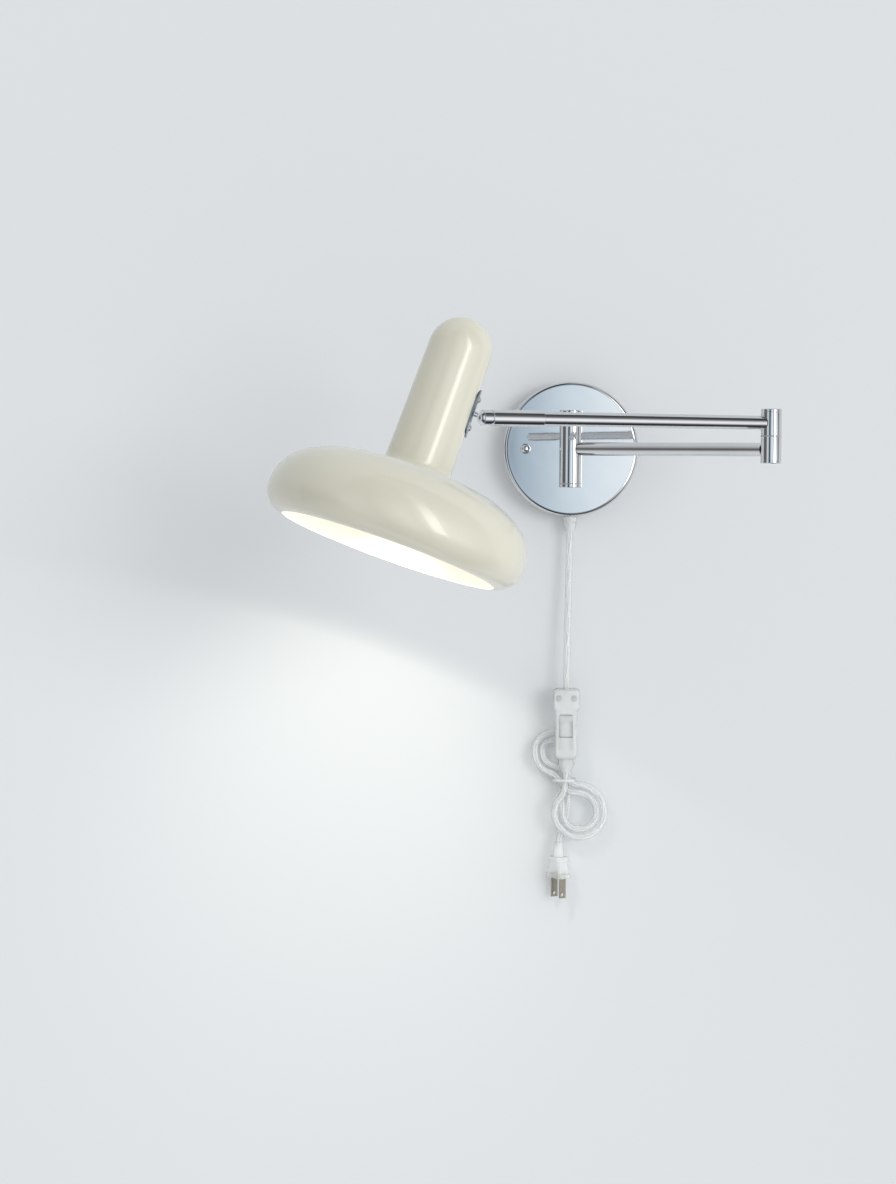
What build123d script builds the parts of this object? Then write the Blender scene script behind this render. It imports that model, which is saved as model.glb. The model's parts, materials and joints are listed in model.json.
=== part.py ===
from build123d import *
from math import acos, cos, degrees, hypot, pi, radians, sin, sqrt, tan
import os

# Swing arm wall lamp with a spun mushroom shade, on a round chrome wall plate.
# Millimetres. The origin is the centre of the wall plate's back, on the wall.
# +X is to the right along the wall, +Y goes into the wall and +Z is up.

# Clearances
seam_gap = 0.03          # between a brazed tube end and what it butts on
seat_gap = 0.05          # between two fixed pieces that seat on a curved face
running_gap = 0.05       # radial, between a turning piece and its pin
side_gap = 0.2           # between flat faces that turn past each other
cord_gap = 0.3           # radial, round the cord in a bore

# Wall plate
plate_radius = 60.0
plate_depth = 22.0
plate_dome_rise = 2.6
plate_shoulder = 4.0
plate_wall = 1.2

# Cross strap behind the plate
strap_thickness = 2.0
strap_width = 18.0
strap_reach = 52.0
slot_spacing = 79.4
slot_length = 14.1
slot_half_width = 2.3

# Studs and their ball nuts
stud_offset = 40.0
stud_radius = 2.0
stud_flange_radius = 3.5
stud_flange_thickness = 1.0
stud_tip_past_plate = 6.5
finial_base_radius = 4.6
finial_base_thickness = 1.5
finial_neck_radius = 2.7
finial_ball_radius = 4.1
finial_ball_height = 5.4

# Stub and yoke that carry the post
stub_radius = 4.85
stub_bore = 3.25
collar_radius = 7.0
locknut_across_flats = 14.0
locknut_thickness = 4.0
washer_radius = 9.0
washer_thickness = 1.0
stub_past_nut = 2.0
yoke_plate = 2.8
yoke_back_width = 15.0
yoke_back_gap = 0.8

# Post
post_radius = 10.0
post_height = 68.0
post_wall = 2.2
post_axis_out = 45.0
bush_flange = 0.5
bush_depth = 7.0
pivot_pin_radius = 2.5
pivot_pin_reach = 9.0
pivot_head_radius = 4.6
pivot_head_thickness = 1.6
wire_hole_radius = 3.5

# Arms
tube_radius = 5.85
tube_wall = 1.2
lower_arm_length = 200.0
upper_arm_length = 272.0
lower_arm_heading = -33.0      # degrees from +X, seen from above, as photographed
upper_arm_heading = -151.0
arm_rise = 22.5                # the upper arm's axis above the lower one's
wire_radius = 1.2
wire_inset = 14.0

# Elbow
elbow_radius = 8.75
elbow_height = 46.0
elbow_cap_thickness = 2.4
elbow_cap_bevel = 0.6
elbow_washer_thickness = 0.8
elbow_pin_radius = 4.85
elbow_pin_bore = 3.2

# Swivel sleeve and ball collar, measured back along the arm from the ball's centre
sleeve_radius = 6.65
sleeve_start = 6.4
sleeve_end = 52.5
sleeve_web_start = 19.0
sleeve_web_end = 22.0
spigot_radius = 3.0
spigot_plug_length = 14.0
spigot_flange = 2.0
end_nut_radius = 4.6
end_nut_thickness = 3.0
nose_radius = 5.85
nose_start = 3.4
seat_radius = 4.85
collar_lip = 1.6
collar_end = 5.4
collar_outer_radius = 6.5
ball_collar_slot = 5.4
sleeve_slot_length = 4.6

# Ball and stud
ball_radius = 5.85
ball_bore = 1.9
stud_neck_radius = 2.4
stud_neck_length = 8.5         # from the ball's centre to the saddle plate's outer face
stud_tail = 6.0                # past the shade's wall, inside

# Shade, in its own frame: its axis is up and the rim's plane is at zero
rim_radius = 90.0
brim_radius = 107.5
brim_height = 20.0
shoulder_radius = 88.0
shoulder_height = 54.0
crown_radius = 44.0
crown_height = 66.2
neck_base_radius = 27.5
neck_top_radius = 25.7
neck_top_height = 171.3
neck_fillet = 8.0
neck_seam = 78.0                # where the neck tube is brazed to the spun bowl
shade_wall = 1.0
saddle_height = 126.0
shade_lean = 19.0              # degrees, the top leans to +X
shade_pitch = 7.8              # degrees, the top leans to the wall

# Saddle plate on the neck
saddle_length = 40.0
saddle_width = 17.0
saddle_thickness = 1.4
saddle_screw_offset = 12.0
saddle_screw_radius = 1.5
saddle_screw_head = 3.0
saddle_screw_head_height = 1.9
saddle_nut_across_flats = 5.5
saddle_nut_thickness = 2.0

# Lampholder and lamp
holder_radius = 16.5
holder_height = 46.0
holder_top = 146.0
holder_wall = 2.5
bracket_thickness = 1.4
bracket_tab_radius = 20.0
bracket_strap_low = 108.0
bracket_width = 15.0
screw_shell_radius = 13.6
screw_shell_wall = 0.5
screw_shell_length = 20.0
holder_socket_depth = 30.0
contact_radius = 4.0
contact_thickness = 1.5
bulb_cap_radius = 12.9
bulb_cap_length = 25.0
bulb_radius = 30.0
bulb_neck_radius = 13.5
bulb_length = 79.0
bulb_wall = 0.8
bulb_seat = 5.0
bulb_cap_wall = 0.5

# Cord, its outlet, switch, hank and plug
cord_radius = 3.0
cord_out = 12.0                # the outlet's axis in front of the wall
gland_radius = 6.3
gland_flange = 5.0
gland_length = 13.5
gland_thread_radius = 5.0
gland_nut_across_flats = 14.0
gland_nut_thickness = 4.0
switch_out = 18.6
switch_shift = -1.5
switch_top = -214.0
switch_length = 63.0
switch_width = 20.0
switch_head_width = 24.0
switch_head_length = 21.0
switch_depth = 19.0
switch_wall = 1.6
switch_relief_width = 14.0
switch_relief_length = 12.4
switch_edge = 2.4
rocker_width = 11.0
rocker_length = 20.0
rocker_drop = 33.0
rocker_proud = 2.2
rocker_gap = 0.35
rocker_pin_radius = 1.2
rocker_throw = 12.0            # degrees between the two ends of its travel
waist_x = -3.0
waist_z = -297.0
strand_step = 6.9              # between neighbouring strands of the hank
back_layer = 5.2               # depths of the hank's layers in front of the wall
mid_layer = 11.9
front_layer = 18.6
swing_layer = 16.6             # the lowest part of the right loop, which hangs forward
right_loop_centre = (11.2, -325.0)
right_loop_half = (18.85, 19.25)
left_loop_centre = (-12.5, -272.0)
left_loop_half = (13.35, 13.55)
crossing_heading = 116.0       # of the two strands that cross the waist to the upper left
tie_height = 2.0
tie_thickness = 1.0
tie_side_gap = 1.9
tie_lift = 0.6                 # the tie's middle above the waist's
tie_shift = -0.15              # and beside it
tail_start_z = -304.0
plug_x = -7.0
plug_out = 12.8
plug_turn = -55.5              # degrees about the cord, so both blades show side by side
plug_top = -353.0
plug_relief_length = 13.0
plug_relief_radius = 5.0
plug_ear = (16.0, 13.5, 4.0)
plug_grip = (14.0, 11.0)
plug_foot = (20.5, 12.6)
plug_body_length = 15.0
plug_flange = (24.0, 14.0, 4.0)
blade_width = 6.35
blade_thickness = 1.5
blade_length = 18.0
blade_pitch = 12.7
blade_seat = 4.0

os.makedirs("parts", exist_ok=True)

BASE = (Align.CENTER, Align.CENTER, Align.MIN)
parts = {}


def turned(*points):
    """A solid turned about +Z from an outline of (radius, height) points."""
    return revolve(Plane.XZ * make_face(Polyline(*points, close=True)), Axis.Z)


def rod(radius, low, high):
    """A round bar on +Z between two heights."""
    return Pos(0, 0, low) * Cylinder(radius, high - low, align=BASE)


def tube(outer, inner, low, high):
    """A round tube on +Z between two heights."""
    return rod(outer, low, high) - rod(inner, low - 1, high + 1)


def hexagon(across_flats, low, high, bore):
    """A hexagon nut on +Z between two heights."""
    blank = extrude(RegularPolygon(across_flats / sqrt(3), 6), high - low)
    return Pos(0, 0, low) * blank - rod(bore, low - 1, high + 1)


def heading(angle):
    """A level unit vector at an angle from +X, seen from above."""
    return Vector(cos(radians(angle)), sin(radians(angle)), 0)


def frame_along(origin, direction, up):
    """A frame whose +Z runs along direction and whose +X is as near up as it can be."""
    direction = direction.normalized()
    side = up - direction * up.dot(direction)
    return Plane(origin=origin, x_dir=side, z_dir=direction).location


# Places that several pieces share
OUTWARD = Rot(90, 0, 0)        # turns +Z to -Y, out of the wall
dome_radius = (plate_radius - plate_shoulder) ** 2 / (2 * plate_dome_rise) + plate_dome_rise / 2
dome_centre = plate_depth + plate_dome_rise - dome_radius
post_axis = Vector(0, -post_axis_out, 0)
lower_way = heading(lower_arm_heading)
upper_way = heading(upper_arm_heading)
elbow_axis = post_axis + lower_way * lower_arm_length
upper_start = elbow_axis + Vector(0, 0, arm_rise)
ball_centre = upper_start + upper_way * upper_arm_length


def dome_height(radius, inset=0.0):
    """How far the plate's face stands out from the wall at a radius."""
    return dome_centre + sqrt((dome_radius - inset) ** 2 - radius**2)


# Wall plate: a domed pan, open at the wall, with holes for the stub and the two studs
def plate_blank(inset, depth_inset):
    rim = plate_radius - inset
    flat = plate_radius - plate_shoulder
    edge = dome_height(flat, inset)
    shoulder = plate_shoulder - inset
    start = (rim, edge - shoulder)
    outline = (
        Line((0, depth_inset), (rim, depth_inset))
        + Line((rim, depth_inset), start)
        + TangentArc(start, (flat, edge), tangent=(0, 1))
        + ThreePointArc((flat, edge), (flat / 2, dome_height(flat / 2, inset)), (0, dome_height(0, inset)))
        + Line((0, dome_height(0, inset)), (0, depth_inset))
    )
    return revolve(Plane.XZ * make_face(outline), Axis.Z)


stud_places = [(-stud_offset, 0), (stud_offset, 0)]
plate = plate_blank(0, 0) - plate_blank(plate_wall, -1)
plate -= rod(stub_radius + seat_gap, 0, plate_depth + 10)
for place in stud_places:
    plate -= Pos(*place) * rod(stud_radius + 2 * seat_gap, 0, plate_depth + 10)
gland_hole = Pos(0, -cord_out, -plate_radius - 5) * Cylinder(gland_thread_radius + seat_gap, 20, align=BASE)
parts["canopy_plate"] = OUTWARD * plate - gland_hole

# Cross strap: one stamping with the studs' arm level and the slotted arm upright
strap = Box(2 * strap_reach, strap_width, strap_thickness, align=BASE)
strap += Box(strap_width, 2 * strap_reach, strap_thickness, align=BASE)
strap = fillet(strap.edges().filter_by(Axis.Z), 4.0)
for side in (-1, 1):
    slot = extrude(SlotOverall(slot_length, 2 * slot_half_width, rotation=90), strap_thickness + 2)
    strap -= Pos(0, side * slot_spacing / 2, -1) * slot
    strap -= Pos(side * stud_offset, 0) * rod(stud_radius + seat_gap, -1, strap_thickness + 1)
parts["mounting_bracket"] = OUTWARD * strap

stud_tip = dome_height(stud_offset) + stud_tip_past_plate
stud = rod(stud_radius, 0, stud_tip)
stud += rod(stud_flange_radius, strap_thickness, strap_thickness + stud_flange_thickness)
parts["mounting_studs"] = [OUTWARD * (Pos(*place) * stud) for place in stud_places]

# Ball nuts, cut underneath to the plate's dome
finial_seat = dome_height(stud_offset + finial_base_radius)
finial_face = dome_height(stud_offset) + finial_base_thickness
finial_blank = rod(finial_base_radius, finial_seat - 2, finial_face)
finial_blank = fillet(finial_blank.edges().group_by(Axis.Z)[-1], 0.5)
finial_blank += rod(finial_neck_radius, finial_face - 1, finial_face + 3)
finial_blank += Pos(0, 0, finial_face + finial_ball_height) * Sphere(finial_ball_radius)
finial_blank -= rod(stud_radius + seat_gap, 0, stud_tip + 0.5)
dome_cutter = Pos(0, 0, dome_centre) * Sphere(dome_radius + seat_gap)
parts["finial_nuts"] = [OUTWARD * (Pos(*place) * finial_blank - dome_cutter) for place in stud_places]

# Terminal block on the strap's level arm
block_place = (21.0, 0)
block = Box(17, 11, 9, align=BASE)
block = fillet(block.edges().filter_by(Axis.Z), 1.0)
for side in (-1, 1):
    block -= Pos(0, side * 2.7, 4.5) * Rot(0, 90, 0) * Cylinder(1.4, 20)
    block -= Pos(-4, side * 2.7, 4.5) * Cylinder(1.3, 10, align=BASE)
    block -= Pos(4, side * 2.7, 4.5) * Cylinder(1.3, 10, align=BASE)
parts["terminal_block"] = OUTWARD * (Pos(block_place[0], block_place[1], strap_thickness) * block)

# Yoke: the post's two lugs, the back plate between them and the hollow stub
back_face = post_axis_out - post_radius - yoke_back_gap
back_rear = back_face - yoke_plate
lug_web = Rectangle(yoke_back_width, post_axis_out - back_rear)
lug_outline = Circle(post_radius) + Pos(0, -(post_axis_out - back_rear) / 2) * lug_web
half_post = post_height / 2
yoke = extrude(lug_outline, half_post, both=True)
yoke -= Box(4 * post_radius, 2 * (post_axis_out - back_face), post_height - 2 * yoke_plate)
yoke = Pos(0, -post_axis_out, 0) * Rot(0, 0, 180) * yoke
at_post = Pos(0, -post_axis_out, 0)
recess = rod(pivot_head_radius + seat_gap, half_post - pivot_head_thickness, half_post + 1)
yoke -= at_post * rod(pivot_pin_radius + seat_gap, -half_post - 1, half_post + 1)
yoke -= at_post * recess
yoke -= at_post * Rot(180, 0, 0) * recess
rim_edges = [
    e
    for e in yoke.edges().filter_by(GeomType.CIRCLE)
    if abs(abs(e.center().Z) - half_post) < 0.01 and e.radius > pivot_head_radius + 1
]
yoke = fillet(rim_edges, 0.7)
stub_inner_end = dome_height(washer_radius, plate_wall) - washer_thickness - locknut_thickness - stub_past_nut
yoke += OUTWARD * rod(stub_radius, stub_inner_end, back_face)
yoke -= OUTWARD * rod(stub_bore, 0, back_face + 1)
parts["pivot_yoke"] = yoke

collar_low = dome_height(stub_radius)
parts["stub_collar"] = OUTWARD * tube(collar_radius, stub_radius + seat_gap, collar_low + seat_gap, back_rear)
washer_face = dome_height(washer_radius, plate_wall) - seat_gap
parts["stub_washer"] = OUTWARD * tube(
    washer_radius, stub_radius + seat_gap, washer_face - washer_thickness, washer_face
)
nut_face = washer_face - washer_thickness
parts["stub_locknut"] = OUTWARD * hexagon(
    locknut_across_flats, nut_face - locknut_thickness, nut_face, stub_radius + seat_gap
)

pivot_screw = rod(pivot_pin_radius, half_post - yoke_plate - pivot_pin_reach, half_post)
pivot_screw += rod(pivot_head_radius, half_post - pivot_head_thickness, half_post)
drive = extrude(RegularPolygon(1.7, 6), 1.2)
pivot_screw -= Pos(0, 0, half_post - 1.2) * drive
parts["pivot_screws"] = [at_post * pivot_screw, at_post * Rot(180, 0, 0) * pivot_screw]

# Lower arm: the post's barrel turns between the yoke's lugs
barrel_half = half_post - yoke_plate - side_gap - bush_flange
post_bore = post_radius - post_wall
toward_elbow = frame_along(post_axis, lower_way, Vector(0, 0, 1))
barrel = at_post * tube(post_radius, post_bore, -barrel_half, barrel_half)
barrel -= toward_elbow * rod(wire_hole_radius, 0, post_radius + 1)
barrel -= toward_elbow * Rot(180, 0, 0) * rod(wire_hole_radius, 0, post_radius + 1)
parts["post_barrel"] = barrel

bush = tube(post_radius, pivot_pin_radius + running_gap, barrel_half, barrel_half + bush_flange)
bush += tube(post_bore - seat_gap, pivot_pin_radius + running_gap, barrel_half - bush_depth, barrel_half)
parts["post_bushings"] = [at_post * bush, at_post * Rot(180, 0, 0) * bush]

post_keepout = at_post * rod(post_radius + seam_gap, -half_post, half_post)
elbow_keepout = Pos(*elbow_axis) * rod(elbow_radius + seam_gap, -elbow_height, elbow_height)
lower_tube = toward_elbow * tube(tube_radius, tube_radius - tube_wall, 0, lower_arm_length)
parts["lower_arm_tube"] = lower_tube - post_keepout - elbow_keepout

# Elbow: two stacked barrels on one hollow pin, with a cap at each end
elbow_low = arm_rise / 2 - elbow_height / 2
elbow_mid_low = arm_rise / 2 - elbow_washer_thickness / 2
elbow_mid_high = arm_rise / 2 + elbow_washer_thickness / 2
elbow_high = elbow_low + elbow_height
at_elbow = Pos(elbow_axis.X, elbow_axis.Y, 0)
back_to_post = frame_along(elbow_axis, lower_way * -1, Vector(0, 0, 1))
lower_barrel = at_elbow * tube(
    elbow_radius, elbow_pin_radius + seat_gap, elbow_low + elbow_cap_thickness, elbow_mid_low
)
lower_barrel -= back_to_post * rod(wire_hole_radius, 0, elbow_radius + 1)
parts["elbow_lower_barrel"] = lower_barrel

upper_barrel = at_elbow * tube(
    elbow_radius,
    elbow_pin_radius + running_gap,
    elbow_mid_high + side_gap / 2,
    elbow_high - elbow_cap_thickness - side_gap / 2,
)
toward_head = frame_along(upper_start, upper_way, Vector(0, 0, 1))
upper_barrel -= toward_head * rod(wire_hole_radius, 0, elbow_radius + 1)
parts["elbow_upper_barrel"] = upper_barrel

pin = at_elbow * tube(elbow_pin_radius, elbow_pin_bore, elbow_low + 1.0, elbow_high - 1.0)
pin -= back_to_post * rod(elbow_pin_bore, 0, elbow_radius)
pin -= toward_head * rod(elbow_pin_bore, 0, elbow_radius)
parts["elbow_pin"] = pin
parts["elbow_washer"] = at_elbow * tube(
    elbow_radius, elbow_pin_radius + seat_gap, elbow_mid_low, elbow_mid_high
)


def elbow_cap(low, high, outer):
    """A flat screw cap whose outer edge is bevelled; outer is the height of its outer face."""
    blank = rod(elbow_radius, low, high)
    rim = blank.edges().filter_by(GeomType.CIRCLE).sort_by(lambda e: abs(e.center().Z - outer))[0]
    blank = chamfer(rim, elbow_cap_bevel)
    inner = low if outer == high else high
    bottom = min(inner, outer + (1.0 if outer == low else -1.0))
    top = max(inner, outer + (1.0 if outer == low else -1.0))
    return at_elbow * (blank - rod(elbow_pin_radius + seat_gap, bottom - 0.001, top + 0.001))


parts["elbow_bottom_cap"] = elbow_cap(elbow_low, elbow_low + elbow_cap_thickness, elbow_low)
parts["elbow_top_cap"] = elbow_cap(elbow_high - elbow_cap_thickness, elbow_high, elbow_high)

# Inner wires, lying along the bottom of each tube
tube_bore = tube_radius - tube_wall
wire_drop = sqrt((tube_bore - wire_radius - side_gap) ** 2 - (wire_radius + 0.1) ** 2)


def wires(frame, start, end):
    """Two insulated wires side by side in a tube; +X of the frame is up."""
    core = rod(wire_radius, start, end)
    return [frame * Pos(-wire_drop, side * (wire_radius + 0.1), 0) * core for side in (-1, 1)]


parts["lower_arm_wires"] = wires(toward_elbow, wire_inset, lower_arm_length - wire_inset)

# Upper arm, from the elbow into the sleeve
plug_face = upper_arm_length - sleeve_web_end - side_gap / 2
tube_end = plug_face - spigot_flange
upper_tube = toward_head * tube(tube_radius, tube_bore, 0, tube_end)
parts["upper_arm_tube"] = upper_tube - Pos(0, 0, arm_rise) * elbow_keepout
end_plug = rod(tube_bore - seat_gap, tube_end - spigot_plug_length, tube_end)
end_plug += rod(tube_radius, tube_end, plug_face)
nut_low = upper_arm_length - sleeve_web_start + side_gap / 2
end_plug += rod(spigot_radius, plug_face, nut_low + end_nut_thickness)
end_plug -= rod(1.7, 0, upper_arm_length)
parts["arm_end_plug"] = toward_head * end_plug
parts["upper_arm_wires"] = wires(toward_head, wire_inset, tube_end - spigot_plug_length - 1.0)

# Sleeve, in a frame whose +Z runs back along the arm from the ball's centre
from_ball = frame_along(ball_centre, upper_way * -1, Vector(0, 0, 1))
sleeve = rod(sleeve_radius, sleeve_start, sleeve_end)
sleeve = chamfer(sleeve.edges().filter_by(GeomType.CIRCLE), 0.35)
sleeve += rod(nose_radius, nose_start, sleeve_start + 1)
sleeve -= rod(seat_radius + seat_gap, 0, sleeve_web_start)
sleeve -= rod(spigot_radius + running_gap, 0, sleeve_end)
sleeve -= rod(tube_radius + running_gap, sleeve_web_end, sleeve_end + 1)
slot_depth = 2 * (sleeve_radius - nose_radius)
slot_end = sleeve_start + sleeve_slot_length
sleeve -= Pos(-sleeve_radius, 0, 0) * Box(slot_depth, ball_collar_slot, slot_end, align=BASE)
parts["swivel_sleeve"] = from_ball * sleeve

end_nut_low = sleeve_web_start - side_gap / 2 - end_nut_thickness
parts["arm_end_nut"] = from_ball * tube(
    end_nut_radius, spigot_radius + seat_gap, end_nut_low, sleeve_web_start - side_gap / 2
)
ball_room = Sphere(ball_radius + running_gap)
seat = tube(seat_radius, 2.0, 0, end_nut_low - side_gap) - ball_room
seat -= rod(seat_radius + 1, -1, nose_start)
parts["ball_seat"] = from_ball * seat

collar = rod(collar_outer_radius, -collar_lip, collar_end)
collar = chamfer(collar.edges().group_by(Axis.Z)[-1], 0.3)
collar -= rod(nose_radius + seat_gap, 0, collar_end + 1)
collar -= ball_room
collar -= rod(sqrt((ball_radius + running_gap) ** 2 - collar_lip**2), -collar_lip - 1, 0)
collar -= Pos(-sleeve_radius, 0, -collar_lip - 1) * Box(
    2 * (sleeve_radius - 2.0), ball_collar_slot, collar_end + collar_lip + 2, align=BASE
)
parts["ball_collar"] = from_ball * collar

# The shade's frame: +Z up its axis, +X towards the ball, origin in the rim's plane
lean = tan(radians(shade_lean))
shade_up = Vector(lean, tan(radians(shade_pitch)) * sqrt(1 + lean**2), 1).normalized()
saddle_normal = Vector(cos(radians(shade_lean)), 0, -sin(radians(shade_lean)))
saddle_normal = (saddle_normal - shade_up * saddle_normal.dot(shade_up)).normalized()


def neck_radius(height):
    """The neck's outer radius at a height above the rim."""
    share = (height - crown_height) / (neck_top_height - crown_height)
    return neck_base_radius + (neck_top_radius - neck_base_radius) * share


saddle_outer = neck_radius(saddle_height) + seat_gap + saddle_thickness
rim_centre = ball_centre - saddle_normal * (stud_neck_length + saddle_outer) - shade_up * saddle_height
in_shade = Plane(origin=rim_centre, x_dir=saddle_normal, z_dir=shade_up).location

# Shade: one outline of arcs, turned, and the same outline moved in by the wall. The neck
# tube is brazed to the bowl above the fillet and ground flush before it is painted.
crown_edge = (crown_radius, crown_height)
neck_foot = (neck_radius(crown_height), crown_height)
brim_edge = (brim_radius, brim_height)
shoulder = (shoulder_radius, shoulder_height)
neck_head = (neck_top_radius, neck_top_height)
brim_curve = TangentArc(brim_edge, (rim_radius, 0), tangent=(0, -1))
side_curve = TangentArc(brim_edge, shoulder, tangent=(0, 1))
crown_curve = TangentArc(shoulder, crown_edge, tangent=side_curve % 1)
top_curve = TangentArc(neck_head, (0, neck_top_height + neck_top_radius), tangent=(0, 1))
outline = (
    Line((0, 0), (rim_radius, 0))
    + brim_curve
    + side_curve
    + crown_curve
    + Line(crown_edge, neck_foot)
    + Line(neck_foot, neck_head)
    + top_curve
    + Line((0, neck_top_height + neck_top_radius), (0, 0))
)
shade_section = make_face(outline)
foot_corner = shade_section.vertices().sort_by(lambda v: hypot(v.X - neck_foot[0], v.Y - neck_foot[1]))[0]
shade_section = fillet(foot_corner, neck_fillet)
both_sides = shade_section + mirror(shade_section, about=Plane.YZ)
hollow_section = offset(both_sides, amount=-shade_wall)
hollow_section &= Pos(2 * brim_radius, neck_top_height) * Rectangle(4 * brim_radius, 4 * neck_top_height)
shade = revolve(Plane.XZ * shade_section, Axis.Z) - revolve(Plane.XZ * hollow_section, Axis.Z)
shade -= rod(rim_radius - shade_wall, -1, shade_wall + 1)
across_neck = Pos(0, 0, saddle_height) * Rot(0, 90, 0)
wall_holes = across_neck * rod(stud_neck_radius + seat_gap, 0, 3 * neck_base_radius)
for side in (-1, 1):
    hole = Pos(0, 0, side * saddle_screw_offset) * across_neck
    wall_holes += hole * rod(saddle_screw_radius + seat_gap, 0, 3 * neck_base_radius)
shade -= wall_holes
shell_room = Pos(0, 0, -5) * Cylinder(2 * brim_radius, neck_seam + 5 - seam_gap / 2, align=BASE)
neck_room_above = Pos(0, 0, neck_seam + seam_gap / 2) * Cylinder(brim_radius, neck_top_height, align=BASE)
parts["shade_shell"] = in_shade * (shade & shell_room)
parts["shade_neck"] = in_shade * (shade & neck_room_above)


def neck_layer(inner_offset, outer_offset, low, high):
    """A sleeve round the neck's taper; offsets are measured from the outer face."""
    return turned(
        (neck_radius(low) + inner_offset, low),
        (neck_radius(low) + outer_offset, low),
        (neck_radius(high) + outer_offset, high),
        (neck_radius(high) + inner_offset, high),
    )


# Saddle plate, a round ended strip bent to the neck
saddle_low = saddle_height - saddle_length / 2
saddle_high = saddle_height + saddle_length / 2
strip = extrude(SlotOverall(saddle_length, saddle_width), 3 * neck_base_radius)
strip = across_neck * strip
saddle = neck_layer(seat_gap, seat_gap + saddle_thickness, saddle_low - 2, saddle_high + 2) & strip
saddle = saddle - wall_holes
parts["saddle_plate"] = in_shade * saddle

# Stud from the ball through plate and wall, with its nut inside
wall_inner = neck_radius(saddle_height) - shade_wall
bracket_outer = -shade_wall - seat_gap
bracket_inner = wall_inner - seat_gap - bracket_thickness
ball_at = saddle_outer + stud_neck_length
stud_out = across_neck * rod(ball_bore - seat_gap, wall_inner, ball_at + ball_radius - 1.5)
stud_out += across_neck * rod(stud_neck_radius, bracket_inner - stud_tail, ball_at - ball_radius - side_gap)
stud_out -= across_neck * rod(0.9, 0, 3 * neck_base_radius)
parts["ball_stud"] = in_shade * stud_out
stud_nut_face = bracket_inner - 0.5
parts["stud_nut"] = in_shade * (
    across_neck * hexagon(8.0, stud_nut_face - 3.0, stud_nut_face, stud_neck_radius + seat_gap)
)
ball = Sphere(ball_radius) - rod(ball_bore, -ball_radius - 1, ball_radius - 1.0)
stem_frame = frame_along(ball_centre, saddle_normal, shade_up)
parts["pivot_ball"] = stem_frame * ball

# Saddle screws and nuts, above and below the stud
screws = []
nuts = []
for side in (-1, 1):
    screw_height = saddle_height + side * saddle_screw_offset
    place = Pos(0, 0, side * saddle_screw_offset) * across_neck
    inside = neck_radius(screw_height) - shade_wall - seat_gap - bracket_thickness
    head_seat = neck_radius(screw_height) + 3 * seat_gap + saddle_thickness
    head_ball = (saddle_screw_head**2 + saddle_screw_head_height**2) / (2 * saddle_screw_head_height)
    head = Pos(0, 0, head_seat + saddle_screw_head_height - head_ball) * Sphere(head_ball)
    head &= rod(saddle_screw_head, head_seat, head_seat + saddle_screw_head_height + 1)
    screw = head + rod(saddle_screw_radius, inside - saddle_nut_thickness - 1.0, head_seat + 0.5)
    cross = Box(0.7, 3.4, 2) + Box(3.4, 0.7, 2)
    screw -= Pos(0, 0, head_seat + saddle_screw_head_height + 0.1) * cross
    screws.append(in_shade * (place * screw))
    nut_face = inside - 0.25
    nut = hexagon(
        saddle_nut_across_flats, nut_face - saddle_nut_thickness, nut_face, saddle_screw_radius + seat_gap
    )
    nuts.append(in_shade * (place * nut))
parts["saddle_screws"] = screws
parts["saddle_nuts"] = nuts

# Lampholder bracket: a strip on the neck's inner wall with a round tab across the neck
tab_top = holder_top + bracket_thickness
strap_wall = neck_layer(bracket_outer - bracket_thickness, bracket_outer, bracket_strap_low, tab_top)
strap_reach_out = 2 * neck_base_radius
bracket = strap_wall & (
    Pos(strap_reach_out / 2, 0, (bracket_strap_low + tab_top) / 2)
    * Box(strap_reach_out, bracket_width, tab_top - bracket_strap_low)
)
neck_room = turned(
    (0, holder_top),
    (neck_radius(holder_top) + bracket_outer, holder_top),
    (neck_radius(tab_top) + bracket_outer, tab_top),
    (0, tab_top),
)
tab_bar = Pos(bracket_tab_radius, 0, holder_top) * Box(
    2 * bracket_tab_radius, bracket_width, bracket_thickness, align=BASE
)
tab = rod(bracket_tab_radius, holder_top, tab_top) + (tab_bar & neck_room)
bracket += tab
bracket -= wall_holes
bracket -= rod(5.0, holder_top - 1, tab_top + 1)
parts["lampholder_bracket"] = in_shade * bracket

# Lampholder and its screw shell, open downwards
holder_low = holder_top - holder_height
holder = rod(holder_radius, holder_low, holder_top)
holder = fillet(holder.edges().group_by(Axis.Z)[-1], 3.0)
holder_floor = holder_low + holder_socket_depth
holder -= rod(holder_radius - holder_wall, holder_low - 1, holder_floor)
holder -= rod(3.0, holder_floor - 1, holder_top + 1)
parts["lampholder_body"] = in_shade * holder
shell_high = holder_floor - contact_thickness - 0.5
shell_low = shell_high - screw_shell_length
screw_shell = tube(screw_shell_radius, screw_shell_radius - screw_shell_wall, shell_low, shell_high)
shell_flange = holder_radius - holder_wall - seat_gap
screw_shell += tube(shell_flange, screw_shell_radius - screw_shell_wall, shell_high - 1, shell_high)
parts["lampholder_shell"] = in_shade * screw_shell
contact = rod(contact_radius, holder_floor - contact_thickness, holder_floor)
parts["lampholder_contact"] = in_shade * contact

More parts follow.
